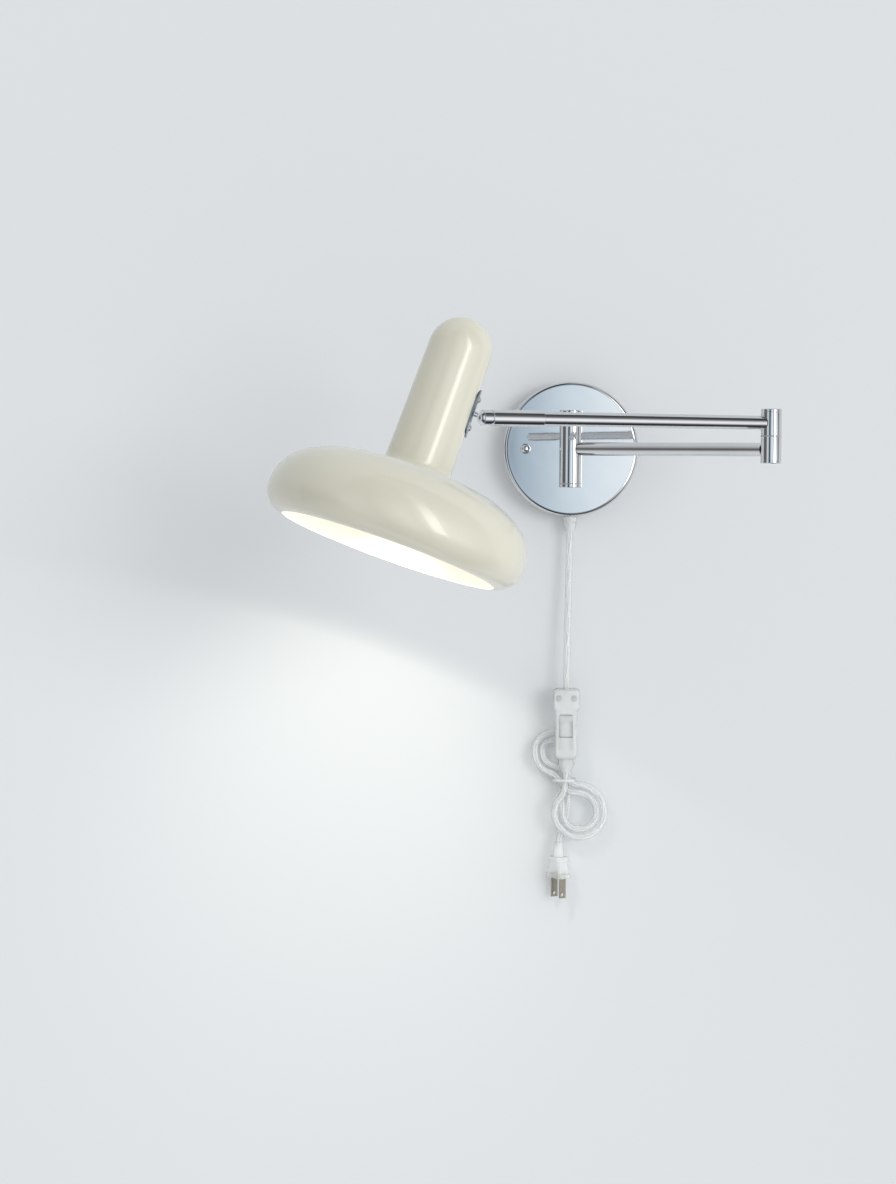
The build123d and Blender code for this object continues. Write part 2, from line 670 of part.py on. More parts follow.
# Lamp: a hollow screw cap and a pear shaped globe whose neck is cemented into it
cap_high = holder_floor - contact_thickness - 0.2
cap_low = cap_high - bulb_cap_length
bulb_cap = turned(
    (0, cap_low),
    (bulb_cap_radius, cap_low),
    (bulb_cap_radius, cap_high - 5),
    (7.5, cap_high - 1.5),
    (3.5, cap_high - 1.5),
    (3.0, cap_high),
    (0, cap_high),
)
bulb_cap -= rod(bulb_cap_radius - bulb_cap_wall, cap_low - 1, cap_high - 6)
parts["bulb_cap"] = in_shade * bulb_cap
globe_low = cap_low - bulb_length
globe_centre = globe_low + bulb_radius
neck_join = cap_low - 4.0
flank = radians(38.0)
touch_point = (bulb_radius * cos(flank), globe_centre + bulb_radius * sin(flank))
globe_outline = (
    Line((0, cap_low), (bulb_neck_radius, cap_low))
    + Line((bulb_neck_radius, cap_low), (bulb_neck_radius, neck_join))
    + TangentArc(touch_point, (bulb_neck_radius, neck_join), tangent=(-sin(flank), cos(flank)))
    + ThreePointArc(touch_point, (bulb_radius, globe_centre), (0, globe_low))
    + Line((0, globe_low), (0, cap_low))
)
globe_face = make_face(globe_outline)
globe_hollow = offset(globe_face + mirror(globe_face, about=Plane.YZ), amount=-bulb_wall)
globe_hollow &= Pos(2 * bulb_radius, globe_low) * Rectangle(4 * bulb_radius, 4 * bulb_length)
globe = revolve(Plane.XZ * globe_face, Axis.Z) - revolve(Plane.XZ * globe_hollow, Axis.Z)
glass_seat = bulb_cap_radius - bulb_cap_wall - seat_gap
globe -= rod(glass_seat - bulb_wall, neck_join, cap_low + 1)
globe += tube(glass_seat, glass_seat - bulb_wall, cap_low - bulb_wall, cap_low + bulb_seat)
parts["bulb_globe"] = in_shade * globe

# Cord outlet: a moulded gland through the plate's lower wall
at_outlet = Pos(0, -cord_out, 0)
gland_top = -plate_radius
gland_end = gland_top - gland_length
gland = rod(gland_radius, gland_top - gland_flange, gland_top)
gland = fillet(gland.edges().filter_by(GeomType.CIRCLE), 0.8)
gland += turned(
    (0, gland_top - gland_flange + 1),
    (gland_radius - 0.6, gland_top - gland_flange + 1),
    (gland_radius - 0.6, gland_top - gland_flange - 2),
    (cord_radius + 1.5, gland_end),
    (0, gland_end),
)
inner_wall = -sqrt((plate_radius - plate_wall) ** 2 - (gland_nut_across_flats / sqrt(3)) ** 2)
gland_nut_low = inner_wall + seat_gap
gland += rod(gland_thread_radius, gland_top - 1, gland_nut_low + gland_nut_thickness + 1.5)
gland -= rod(cord_radius + cord_gap, gland_end - 1, 0)
parts["cord_gland"] = at_outlet * gland
parts["gland_nut"] = at_outlet * hexagon(
    gland_nut_across_flats, gland_nut_low, gland_nut_low + gland_nut_thickness, gland_thread_radius + seat_gap
)


def corner_radii(points):
    """The largest arc at each corner: 0.45 of its shorter run over the tangent of half the turn."""
    radii = []
    for before, corner, after in zip(points, points[1:], points[2:]):
        first = Vector(*corner) - Vector(*before)
        second = Vector(*after) - Vector(*corner)
        turn = first.get_angle(second)
        radii.append(0.45 * min(first.length, second.length) / tan(radians(turn / 2)))
    return radii


def cord_along(name, points):
    """A round cord along straight runs joined by the largest arcs, with its radii printed."""
    radii = corner_radii(points)
    route = FilletPolyline(*points, radius=radii)
    start = Plane(origin=points[0], z_dir=Vector(*points[1]) - Vector(*points[0]))
    solid = sweep(start * Circle(cord_radius), path=route)
    expected = pi * cord_radius**2 * route.length
    print(name, "length", round(route.length, 1), "radii", [round(r, 1) for r in radii],
          "volume ratio", round(solid.volume / expected, 5))
    return solid


# Straight cord from inside the plate to the switch
switch_bottom = switch_top - switch_length
cord_entry = 6.0
upper_points = [
    (0, -cord_out, gland_nut_low + gland_nut_thickness + 3.5),
    (0, -cord_out, gland_end - 12),
    (switch_shift, -switch_out, switch_top + 24),
    (switch_shift, -switch_out, switch_top - cord_entry),
]
parts["cord_upper"] = cord_along("cord_upper", upper_points)

# Switch: two moulded halves with a rocker in the front one
at_switch = Pos(switch_shift, -switch_out, 0)


def switch_solid(inset, relief_inset):
    """The switch's outer form, or its hollow when inset, on the X Z plane."""
    head = Pos(0, switch_top - switch_head_length / 2) * RectangleRounded(
        switch_head_width - 2 * inset, switch_head_length - 2 * inset, 4.0
    )
    body_top = switch_top - switch_head_length / 2
    body_length = body_top - switch_bottom
    body = Pos(0, body_top - body_length / 2) * RectangleRounded(
        switch_width - 2 * inset, body_length - 2 * inset, 4.0
    )
    neck = Pos(0, (body_top + switch_bottom) / 2) * Rectangle(switch_width - 2 * inset, body_length - 10)
    outline = head + body + neck
    slab = extrude(Plane.XZ * outline, switch_depth / 2 - inset, both=True)
    if not relief_inset:
        outer_edges = [e for e in slab.edges() if abs(abs(e.center().Y) - switch_depth / 2) < 0.01]
        slab = fillet(outer_edges, switch_edge)
        slab += turned(
            (0, switch_bottom + 3),
            (switch_relief_width / 2, switch_bottom + 3),
            (switch_relief_width / 2, switch_bottom - switch_relief_length * 0.45),
            (cord_radius + 0.9, switch_bottom - switch_relief_length),
            (0, switch_bottom - switch_relief_length),
        )
    return slab


switch_outer = switch_solid(0, False)
switch_inner = switch_solid(switch_wall, True)
cord_bore = rod(cord_radius + cord_gap, switch_bottom - switch_relief_length - 1, switch_top + 1)
rocker_z = switch_top - rocker_drop
window = Pos(0, -switch_depth / 2, rocker_z) * Box(
    rocker_width + 2 * rocker_gap, 6, rocker_length + 2 * rocker_gap
)
switch_body = switch_outer - switch_inner - cord_bore
front_half = Pos(0, -25, (switch_top + switch_bottom) / 2) * Box(80, 50, 200)
pin_y = -switch_depth / 2 + 5.0
pin_line = Pos(0, pin_y, rocker_z) * Rot(0, 90, 0)
pin_hole = pin_line * Cylinder(rocker_pin_radius + running_gap, rocker_width + 6)
ear_blank = Pos(0, pin_y, rocker_z) * Box(rocker_width + 6, 5.0, 7.0)
ear_blank -= Pos(0, pin_y, rocker_z) * Box(rocker_width + 2 * rocker_gap, 40.0, 40.0)
ears = ear_blank - pin_hole
front_shell = (switch_body & front_half) - window + ears
back_shell = switch_body - front_half
switch_screw_radius = 1.3
switch_screw_offset = 6.8
switch_screw_z = switch_top - 8.5
for sx in (switch_screw_offset, -switch_screw_offset):
    screw_line = Pos(sx, 0, switch_screw_z) * Rot(90, 0, 0)
    boss = screw_line * Cylinder(2.6, switch_depth - 2)
    bore = screw_line * Cylinder(switch_screw_radius + seat_gap, switch_depth - 5)
    head_bore = Pos(0, switch_depth / 2, 0) * screw_line * Cylinder(2.2 + seat_gap, 4.2)
    shank_hole = Cylinder(switch_screw_radius + seat_gap, switch_depth / 2)
    through = Pos(0, switch_depth / 4, 0) * screw_line * shank_hole
    front_shell += (boss & front_half) - bore
    front_shell -= bore & front_half
    back_shell += boss - front_half
    back_shell -= through
    back_shell -= head_bore
parts["switch_front_shell"] = at_switch * front_shell
parts["switch_back_shell"] = at_switch * back_shell
switch_screws = []
for sx in (-switch_screw_offset, switch_screw_offset):
    shank = rod(switch_screw_radius, 1.7, switch_depth - 3.5) + rod(2.2, 0.3, 1.7)
    shank -= Pos(0, 0, 0.5) * (Box(0.6, 2.8, 1.2) + Box(2.8, 0.6, 1.2))
    place = at_switch * Pos(sx, switch_depth / 2 - 0.2, switch_screw_z)
    switch_screws.append(place * OUTWARD * shank)
parts["switch_screws"] = switch_screws

# Rocker: turns on its own pins in the front shell's ears
rocker_top = switch_depth / 2 + rocker_proud
pivot_to_face = rocker_top + pin_y
rocker = Pos(0, pin_y - pivot_to_face / 2, rocker_z) * Box(rocker_width, pivot_to_face, rocker_length)
dish = Pos(0, -rocker_top - 38.5, rocker_z) * Rot(0, 90, 0) * Cylinder(40.0, 3 * rocker_width)
rocker -= dish
rocker &= pin_line * Cylinder(hypot(rocker_length / 2, 4.0), rocker_width)
rocker += pin_line * Cylinder(2.4, rocker_width)
rocker += pin_line * Cylinder(rocker_pin_radius, rocker_width + 5)
rest_tilt = rocker_throw / 2
pin_axis = Pos(0, pin_y, rocker_z)
rocker = pin_axis * Rot(rest_tilt, 0, 0) * pin_axis.inverse() * rocker
parts["switch_rocker"] = at_switch * rocker

# Two contact strips clipped in the back shell
contact_strip = Box(3.0, 0.8, 26.0)
contact_y = switch_depth / 2 - switch_wall - 0.4 - 0.1
parts["switch_contacts"] = [
    at_switch * Pos(side * 5.0, contact_y, switch_bottom + 20.0) * contact_strip for side in (-1, 1)
]

# Hank: a figure of eight wound twice, one unbroken cord. Both turns follow the same
# ring of places, the first half a strand step to the right of it and the second to the left.


def on_oval(centre, half, angle, clockwise):
    """A place on an oval: its point and its tangent, in the plane of the wall."""
    turn = radians(angle)
    point = Vector(centre[0] + half[0] * cos(turn), 0, centre[1] + half[1] * sin(turn))
    way = Vector(-half[0] * sin(turn), 0, half[1] * cos(turn)).normalized()
    return point, way * (-1 if clockwise else 1)


def at_waist(angle):
    """The place at the waist, headed at an angle from +X."""
    return Vector(waist_x, 0, waist_z), Vector(cos(radians(angle)), 0, sin(radians(angle)))


def beside(place, side, depth):
    """A place moved to one side by half a strand step, at a depth in front of the wall."""
    point, way = place
    return point + Vector(-way.Z, 0, way.X) * side * strand_step / 2 + Vector(0, -depth, 0), way


def joint_between(start, end):
    """Where two arcs meet that leave one place and reach the next along their tangents."""
    p, u = start
    q, v = end
    chord = q - p
    spread = 2 * (1 - u.dot(v))
    along = chord.dot(u + v)
    if spread < 1e-9:
        reach = chord.dot(chord) / (4 * chord.dot(v))
    else:
        reach = (-along + sqrt(along**2 + spread * chord.dot(chord))) / spread
    first = p + u * reach
    second = q - v * reach
    return (first + second) / 2, (second - first).normalized()


def arcs_through(*places):
    """Arcs from place to place, each leaving along its first place's tangent."""
    return [Edge.make_tangent_arc(a[0], a[1], b[0]) for a, b in zip(places, places[1:])]


ring = [
    on_oval(right_loop_centre, right_loop_half, 180, False),
    on_oval(right_loop_centre, right_loop_half, 270, False),
    on_oval(right_loop_centre, right_loop_half, 355, False),
    on_oval(right_loop_centre, right_loop_half, 412, False),
    at_waist(crossing_heading),
    on_oval(left_loop_centre, left_loop_half, 200, True),
    on_oval(left_loop_centre, left_loop_half, 110, True),
    on_oval(left_loop_centre, left_loop_half, 20, True),
    at_waist(266),
]
shared_depths = (swing_layer, 13.2, mid_layer, mid_layer, mid_layer, back_layer, back_layer, back_layer)
turns = [(-1, (17.8, *shared_depths)), (1, (13.0, *shared_depths))]

relief_end = switch_bottom - switch_relief_length
down = Vector(0, 0, -1)
short_straight = down * 2 * cord_radius
hank_start = Vector(switch_shift, -switch_out, relief_end + 4.0)
leaving = (hank_start + short_straight, down)
entering = (Vector(switch_shift - 0.7, -front_layer, -303.0), Vector(-0.16, 0, -1).normalized())
hank_edges = [Edge.make_line(hank_start, leaving[0])]
hank_edges += arcs_through(leaving, joint_between(leaving, entering), entering)
here = entering
for side, depths in turns:
    stops = list(zip(ring, depths))
    first = beside(ring[0], side, depths[0])
    hank_edges += arcs_through(here, joint_between(here, first), first)
    for (place, depth), (next_place, next_depth) in zip(stops, stops[1:]):
        start = beside(place, side, depth)
        end = beside(next_place, side, next_depth)
        if depth == next_depth:
            joint = beside(joint_between(place, next_place), side, depth)
        else:
            joint = joint_between(start, end)
        hank_edges += arcs_through(start, joint, end)
    here = beside(ring[-1], side, depths[-1])
hank_end = Vector(here[0].X + 0.4, -back_layer, tail_start_z)
hank_edges += arcs_through(here, joint_between(here, (hank_end, down)), (hank_end, down))
hank_edges.append(Edge.make_line(hank_end, hank_end + short_straight))
hank_route = Wire(hank_edges)
hank = sweep(Plane(origin=hank_start, z_dir=down) * Circle(cord_radius), path=hank_route)
parts["cord_hank"] = hank


def least_gap(edges, step):
    """The least gap between strands, from points along the cord more than half a loop apart."""
    samples = []
    travelled = 0.0
    for edge in edges:
        count = max(1, round(edge.length / step))
        for k in range(count):
            samples.append((travelled + edge.length * k / count, edge.position_at(k / count)))
        travelled += edge.length
    least = 1e9
    for i, (s, p) in enumerate(samples):
        for t, q in samples[i + 1:]:
            if t - s > 20.0:
                least = min(least, (p - q).length)
    return least - 2 * cord_radius


hank_volume = pi * cord_radius**2 * hank_route.length
print("cord_hank length", round(hank_route.length, 1),
      "least radius", round(min(e.radius for e in hank_edges[1:-1]), 1),
      "least gap", round(least_gap(hank_edges, 1.5), 2),
      "volume ratio", round(hank.volume / hank_volume, 5))

# Tie: a band round the waist, wide enough for the strands that cross it at a slant
slant = radians(crossing_heading)
tie_half = (strand_step / 2 + cord_radius) / sin(slant) + tie_height / 2 / abs(tan(slant))
tie_room = (2 * (tie_half + tie_side_gap), front_layer - back_layer + 2 * (cord_radius + cord_gap))
tie_outline = RectangleRounded(tie_room[0] + 2 * tie_thickness, tie_room[1] + 2 * tie_thickness, 6.0)
tie_outline -= RectangleRounded(tie_room[0], tie_room[1], 5.0)
tie_low = waist_z + tie_lift - tie_height / 2
tie_place = Pos(waist_x + tie_shift, -(front_layer + back_layer) / 2, tie_low)
parts["hank_tie"] = tie_place * extrude(tie_outline, tie_height)

# Tail from the hank to the plug, behind the right loop
tail_start = hank_end + short_straight
tail_points = [
    tuple(tail_start),
    (tail_start.X, -back_layer, -322.0),
    (-1.6, -6.9, -336.5),
    (plug_x, -plug_out, -349.0),
    (plug_x, -plug_out, plug_top - 3.0),
]
parts["cord_tail"] = cord_along("cord_tail", tail_points)

# Plug: tapered relief, eared and shouldered body, flange and two flat blades
at_plug = Pos(plug_x, -plug_out, 0) * Rot(0, 0, plug_turn)
relief_low = plug_top - plug_relief_length
ear_low = relief_low - plug_ear[2]
body_low = relief_low - plug_body_length
flange_low = body_low - plug_flange[2]
relief = turned(
    (0, relief_low - 1),
    (plug_relief_radius, relief_low - 1),
    (plug_relief_radius - 0.9, plug_top),
    (0, plug_top),
)
ear = Pos(0, 0, ear_low) * extrude(RectangleRounded(plug_ear[0], plug_ear[1], 2.5), plug_ear[2])
ear = fillet(ear.edges().group_by(Axis.Z)[-1], 1.0)
grip = loft([
    Pos(0, 0, ear_low + 1.0) * RectangleRounded(plug_grip[0], plug_grip[1], 2.5),
    Pos(0, 0, body_low - 0.5) * RectangleRounded(plug_foot[0], plug_foot[1], 2.5),
], ruled=True)
flange = Pos(0, 0, flange_low) * extrude(
    RectangleRounded(plug_flange[0], plug_flange[1], 4.0), plug_flange[2]
)
flange = fillet(flange.edges().group_by(Axis.Z)[-1], 1.0)
plug = relief + ear + grip + flange
plug -= rod(cord_radius + cord_gap, plug_top - 3.2, plug_top + 1)
blades = []
for side in (-1, 1):
    blade = Box(blade_thickness, blade_width, blade_length + blade_seat, align=BASE)
    blade -= Pos(0, 0, 3.0) * Cylinder(1.6, 10, rotation=(0, 90, 0))
    blade = chamfer(blade.edges().group_by(Axis.Z)[0].filter_by(Axis.Y), 0.4)
    blades.append(at_plug * Pos(side * blade_pitch / 2, 0, flange_low - blade_length) * blade)
    slot = Box(blade_thickness + 2 * seat_gap, blade_width + 2 * seat_gap, blade_seat + 1, align=BASE)
    plug -= Pos(side * blade_pitch / 2, 0, flange_low - 1) * slot
parts["plug_body"] = at_plug * plug
parts["plug_blades"] = blades

for name, shape in parts.items():
    if isinstance(shape, list):
        shape = Compound(children=[solid for item in shape for solid in item.solids()])
    export_step(shape, f"parts/{name}.step")
print(len(parts), "nodes")
print("elbow axis", tuple(round(v, 3) for v in elbow_axis))
print("ball centre", tuple(round(v, 3) for v in ball_centre))
print("upper way", tuple(round(v, 5) for v in upper_way))
print("saddle normal", tuple(round(v, 5) for v in saddle_normal))
print("shade up", tuple(round(v, 5) for v in shade_up))
print("rim centre", tuple(round(v, 3) for v in rim_centre))
bend_axis = upper_way.cross(saddle_normal * -1).normalized()
print("bend axis", tuple(round(v, 5) for v in bend_axis))
print("rest bend", round(degrees(acos(upper_way.dot(saddle_normal * -1))), 2))
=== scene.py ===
"""Swing arm wall lamp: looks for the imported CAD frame, in metres, +Z up, wall at Y = 0."""

import json
import logging
import math
from dataclasses import dataclass, field
from enum import Enum
from typing import Any, Sequence

import bmesh
import bpy
from mathutils import Matrix, Vector

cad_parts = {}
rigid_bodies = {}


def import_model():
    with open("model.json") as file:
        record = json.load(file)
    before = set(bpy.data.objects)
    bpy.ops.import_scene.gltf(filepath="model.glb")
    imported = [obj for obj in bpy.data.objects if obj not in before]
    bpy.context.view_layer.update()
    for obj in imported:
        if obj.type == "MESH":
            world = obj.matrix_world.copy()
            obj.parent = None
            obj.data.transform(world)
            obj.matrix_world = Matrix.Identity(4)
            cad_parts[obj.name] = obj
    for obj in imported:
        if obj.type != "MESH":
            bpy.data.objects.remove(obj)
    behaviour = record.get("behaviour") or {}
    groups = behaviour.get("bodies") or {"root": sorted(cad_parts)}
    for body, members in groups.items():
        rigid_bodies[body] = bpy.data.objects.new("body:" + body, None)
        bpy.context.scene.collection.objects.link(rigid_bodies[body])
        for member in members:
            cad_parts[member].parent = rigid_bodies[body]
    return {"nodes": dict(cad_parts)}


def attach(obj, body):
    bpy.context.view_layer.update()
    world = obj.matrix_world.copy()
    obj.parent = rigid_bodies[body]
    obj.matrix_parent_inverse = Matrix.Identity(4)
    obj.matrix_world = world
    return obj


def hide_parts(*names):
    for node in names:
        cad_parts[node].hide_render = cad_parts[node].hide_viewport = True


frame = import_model()
LOG = logging.getLogger("wall_lamp")
MM = 0.001
# Less than this is nothing: a radius on its axis, or the reach of a level or upright line
TINY = 1e-6
# Points of a CAD mesh that are nearer to each other than this, in metres, are one
MERGE = 2e-6
# Faces of a CAD mesh that turn by fewer degrees than this are one
FLAT = 0.5
# Edges that turn by more degrees than this stay sharp, on turned pieces and on CAD meshes
CREASE = 32.0
CAD_CREASE = 30.0
# Refractive index of paint, glass and opaque plastic
INDEX = 1.5
Outline = list[tuple[float, float]]
Triple = tuple[float, float, float]
Stops = Sequence[tuple[float, str]]
Piece = bpy.types.Object
Tree = bpy.types.NodeTree
Node = bpy.types.Node
Port = bpy.types.NodeSocket


class Body(Enum):
    """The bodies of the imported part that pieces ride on."""

    WALL = "wall_unit"
    KEY = "switch_key"
    LOWER = "lower_arm"
    UPPER = "upper_arm"
    SLEEVE = "sleeve"
    BALL = "ball"
    HEAD = "head"


class Tone(Enum):
    """Colours of the finishes and of the stage, as sRGB hex values."""

    CHROME = "#E1E2E4"
    CHROME_HAZE = "#D0D2D4"
    # Dark partly as painted shade for the saddle seen edge on
    STRIP = "#7E8184"
    ZINC = "#A4A8AB"
    ZINC_DARK = "#7F8488"
    # Darker than the nylon's own colour: painted shade for the seams it sits in
    NYLON = "#A9A8A4"
    CREAM = "#D9D8C9"
    CREAM_DEEP = "#D0CEBC"
    REFLECTOR = "#F1F0EA"
    OPAL = "#F6F2E8"
    GLOW = "#FFF6E6"
    CLEAR = "#F7F9F9"
    # Painted shade: the grey of clear plastic's edges where they face away
    CLEAR_EDGE = "#979EA1"
    CORE = "#E0E4E6"
    BLADE = "#A5A196"
    BLADE_DARK = "#857F71"
    BRASS = "#C6A762"
    ALUMINIUM = "#C2C5C7"
    HOLDER = "#ECE9E0"
    WIRE = "#D8D4C9"
    WALL = "#DDE1E4"
    FLOOR = "#D6DADD"
    STUDIO_BACK = "#BDC2C5"


def linear(tone: Tone | str) -> tuple[float, float, float, float]:
    """Turns an sRGB hex value to linear colour.

    Args:
        tone: A named colour, or the hex value itself.

    Returns:
        Red, green, blue and an alpha of one, for a colour socket.
    """
    code = tone.value if isinstance(tone, Tone) else tone
    channels = [int(code[i:i + 2], 16) / 255 for i in (1, 3, 5)]
    shares = [c / 12.92 if c <= 0.04045 else ((c + 0.055) / 1.055) ** 2.4 for c in channels]
    return (shares[0], shares[1], shares[2], 1.0)


def add_node(tree: Tree, kind: str, inputs: dict[Any, Any] | None = None, **settings: Any) -> Node:
    """Adds a node, sets its properties and fills or links its inputs.

    Args:
        tree: The node tree to add to.
        kind: The node's type name.
        inputs: By input name or number: a value, an output to link from, or a node, which is
            linked from its first output.
        **settings: Properties of the node itself.

    Returns:
        The new node.
    """
    node = tree.nodes.new(kind)
    for name, value in settings.items():
        setattr(node, name, value)
    for key, value in (inputs or {}).items():
        if isinstance(value, Node):
            value = value.outputs[0]
        if isinstance(value, Port):
            tree.links.new(value, node.inputs[key])
        else:
            node.inputs[key].default_value = value
    return node


def empty_tree(owner: bpy.types.Material | bpy.types.World) -> Tree:
    """The node tree of a new material or world, with nothing in it.

    Args:
        owner: The material or world.

    Returns:
        Its node tree.
    """
    owner.use_nodes = True
    owner.node_tree.nodes.clear()
    return owner.node_tree


def put(name: str, data: bpy.types.ID) -> Piece:
    """Links a new object to the scene.

    Args:
        name: The object's name.
        data: Its mesh, curve, light or camera.

    Returns:
        The new object.
    """
    made = bpy.data.objects.new(name, data)
    bpy.context.scene.collection.objects.link(made)
    return made


@dataclass(frozen=True)
class Finish:
    """A finish: the tone it is written in and how its shader is filled."""

    name: str
    tone: Tone
    roughness: float

    def shader(self, tree: Tree, place: Port) -> Node:
        """Fills the finish's own shader; each finish has its own.

        Args:
            tree: The material's node tree.
            place: The piece's Object coordinates; not used by this plain shader.

        Returns:
            The Principled node.
        """
        return add_node(tree, "ShaderNodeBsdfPrincipled", {"Base Color": linear(self.tone)})

    def material(self) -> bpy.types.Material:
        """Builds the finish once and hands the same material out after that.

        Returns:
            The node material.
        """
        found = bpy.data.materials.get(self.name)
        if found is not None:
            return found
        made = bpy.data.materials.new(self.name)
        tree = empty_tree(made)
        place = add_node(tree, "ShaderNodeTexCoord").outputs["Object"]
        shader = self.shader(tree, place)
        add_node(tree, "ShaderNodeOutputMaterial", {"Surface": shader})
        made.diffuse_color = linear(self.tone)
        return made


@dataclass(frozen=True)
class PolishedChrome(Finish):
    """Chrome plate on polished steel: a mirror with a very fine haze from its buffing."""

    buffing_mm: float = 0.8
    bump: float = 0.02

    def shader(self, tree: Tree, place: Port) -> Node:
        """Mirror metal whose roughness drifts with the buffing and with handling.

        Args:
            tree: The material's node tree.
            place: The piece's Object coordinates.

        Returns:
            The Principled node.
        """
        haze = add_node(tree, "ShaderNodeTexNoise",
                        {"Vector": place, "Scale": 28.0, "Detail": 3.0})
        grain = add_node(tree, "ShaderNodeTexNoise",
                         {"Vector": place, "Scale": 1000.0 / self.buffing_mm, "Detail": 2.0})
        rough = add_node(tree, "ShaderNodeMapRange",
                         {"Value": haze, "From Min": 0.3, "From Max": 0.75,
                          "To Min": self.roughness, "To Max": self.roughness + 0.03})
        tint = add_node(tree, "ShaderNodeMix",
                        {0: haze, 6: linear(self.tone),
                         7: linear(Tone.CHROME_HAZE)}, data_type="RGBA")
        relief = add_node(tree, "ShaderNodeBump",
                          {"Height": grain, "Strength": self.bump,
                           "Distance": 0.02 * MM})
        return add_node(tree, "ShaderNodeBsdfPrincipled",
                        {"Base Color": tint.outputs[2], "Metallic": 1.0,
                         "Roughness": rough, "Normal": relief})


@dataclass(frozen=True)
class PlatedSteel(Finish):
    """Zinc plated or plain drawn metal: grey, satin and faintly mottled."""

    second: Tone = Tone.ZINC_DARK
    mottle_mm: float = 2.5

    def shader(self, tree: Tree, place: Port) -> Node:
        """Satin metal with a mottle of two tones and a matching roughness.

        Args:
            tree: The material's node tree.
            place: The piece's Object coordinates.

        Returns:
            The Principled node.
        """
        mottle = add_node(tree, "ShaderNodeTexVoronoi",
                          {"Vector": place, "Scale": 1000.0 / self.mottle_mm}, feature="SMOOTH_F1")
        rub = add_node(tree, "ShaderNodeTexNoise",
                       {"Vector": place, "Scale": 400.0, "Detail": 4.0})
        share = add_node(tree, "ShaderNodeMath", {0: mottle, 1: rub}, operation="MULTIPLY")
        tint = add_node(tree, "ShaderNodeMix",
                        {0: share, 6: linear(self.tone),
                         7: linear(self.second)}, data_type="RGBA")
        rough = add_node(tree, "ShaderNodeMapRange",
                         {"Value": rub, "To Min": self.roughness - 0.08,
                          "To Max": self.roughness + 0.1})
        relief = add_node(tree, "ShaderNodeBump",
                          {"Height": rub, "Strength": 0.15, "Distance": 0.05 * MM})
        return add_node(tree, "ShaderNodeBsdfPrincipled",
                        {"Base Color": tint.outputs[2], "Metallic": 1.0,
                         "Roughness": rough, "Normal": relief})


@dataclass(frozen=True)
class GlossPaint(Finish):
    """Stoved gloss paint on spun steel: an even colour under a clear skin with orange peel."""

    deep: Tone = Tone.CREAM_DEEP
    coat: float = 0.85
    peel_mm: float = 3.0
    bump: float = 0.06

    def shader(self, tree: Tree, place: Port) -> Node:
        """Paint with a little drift of tone, a clear coat and its peel.

        Args:
            tree: The material's node tree.
            place: The piece's Object coordinates.

        Returns:
            The Principled node.
        """
        drift = add_node(tree, "ShaderNodeTexNoise",
                         {"Vector": place, "Scale": 9.0, "Detail": 2.0})
        peel = add_node(tree, "ShaderNodeTexNoise",
                        {"Vector": place, "Scale": 1000.0 / self.peel_mm, "Detail": 1.0})
        tint = add_node(tree, "ShaderNodeMix",
                        {0: drift, 6: linear(self.tone),
                         7: linear(self.deep)}, data_type="RGBA")
        rough = add_node(tree, "ShaderNodeMapRange",
                         {"Value": drift, "To Min": self.roughness,
                          "To Max": self.roughness + 0.08})
        relief = add_node(tree, "ShaderNodeBump",
                          {"Height": peel, "Strength": self.bump,
                           "Distance": 0.05 * MM})
        return add_node(tree, "ShaderNodeBsdfPrincipled",
                        {"Base Color": tint.outputs[2], "Roughness": rough,
                         "IOR": INDEX, "Coat Weight": self.coat, "Coat Roughness": 0.06,
                         "Normal": relief})


@dataclass(frozen=True)
class OpalGlass(Finish):
    """Opal blown glass of the lit lamp: milky white with a clear gloss, glowing evenly."""

    glow: float = 1.2

    def shader(self, tree: Tree, place: Port) -> Node:
        """White glass that gives its own light, with a faint swirl in the opal.

        Args:
            tree: The material's node tree.
            place: The piece's Object coordinates.

        Returns:
            The Principled node.
        """
        swirl = add_node(tree, "ShaderNodeTexNoise",
                         {"Vector": place, "Scale": 40.0, "Detail": 2.0})
        tint = add_node(tree, "ShaderNodeMix",
                        {0: swirl, 6: linear(self.tone),
                         7: linear(Tone.GLOW)}, data_type="RGBA")
        return add_node(tree, "ShaderNodeBsdfPrincipled",
                        {"Base Color": tint.outputs[2], "Roughness": self.roughness,
                         "IOR": INDEX, "Emission Color": linear(Tone.GLOW),
                         "Emission Strength": self.glow})


@dataclass(frozen=True)
class MouldedPlastic(Finish):
    """Moulded opaque plastic: an even colour with the fine texture of its mould."""

    texture_mm: float = 0.35
    bump: float = 0.25

    def shader(self, tree: Tree, place: Port) -> Node:
        """Plastic with a fine moulded grain and a little variation in gloss.

        Args:
            tree: The material's node tree.
            place: The piece's Object coordinates.

        Returns:
            The Principled node.
        """
        grain = add_node(tree, "ShaderNodeTexNoise",
                         {"Vector": place, "Scale": 1000.0 / self.texture_mm, "Detail": 2.0})
        gloss = add_node(tree, "ShaderNodeTexNoise", {"Vector": place, "Scale": 60.0})
        rough = add_node(tree, "ShaderNodeMapRange",
                         {"Value": gloss, "To Min": self.roughness - 0.06,
                          "To Max": self.roughness + 0.08})
        relief = add_node(tree, "ShaderNodeBump",
                          {"Height": grain, "Strength": self.bump,
                           "Distance": 0.03 * MM})
        return add_node(tree, "ShaderNodeBsdfPrincipled",
                        {"Base Color": linear(self.tone), "Roughness": rough,
                         "IOR": INDEX, "Normal": relief})


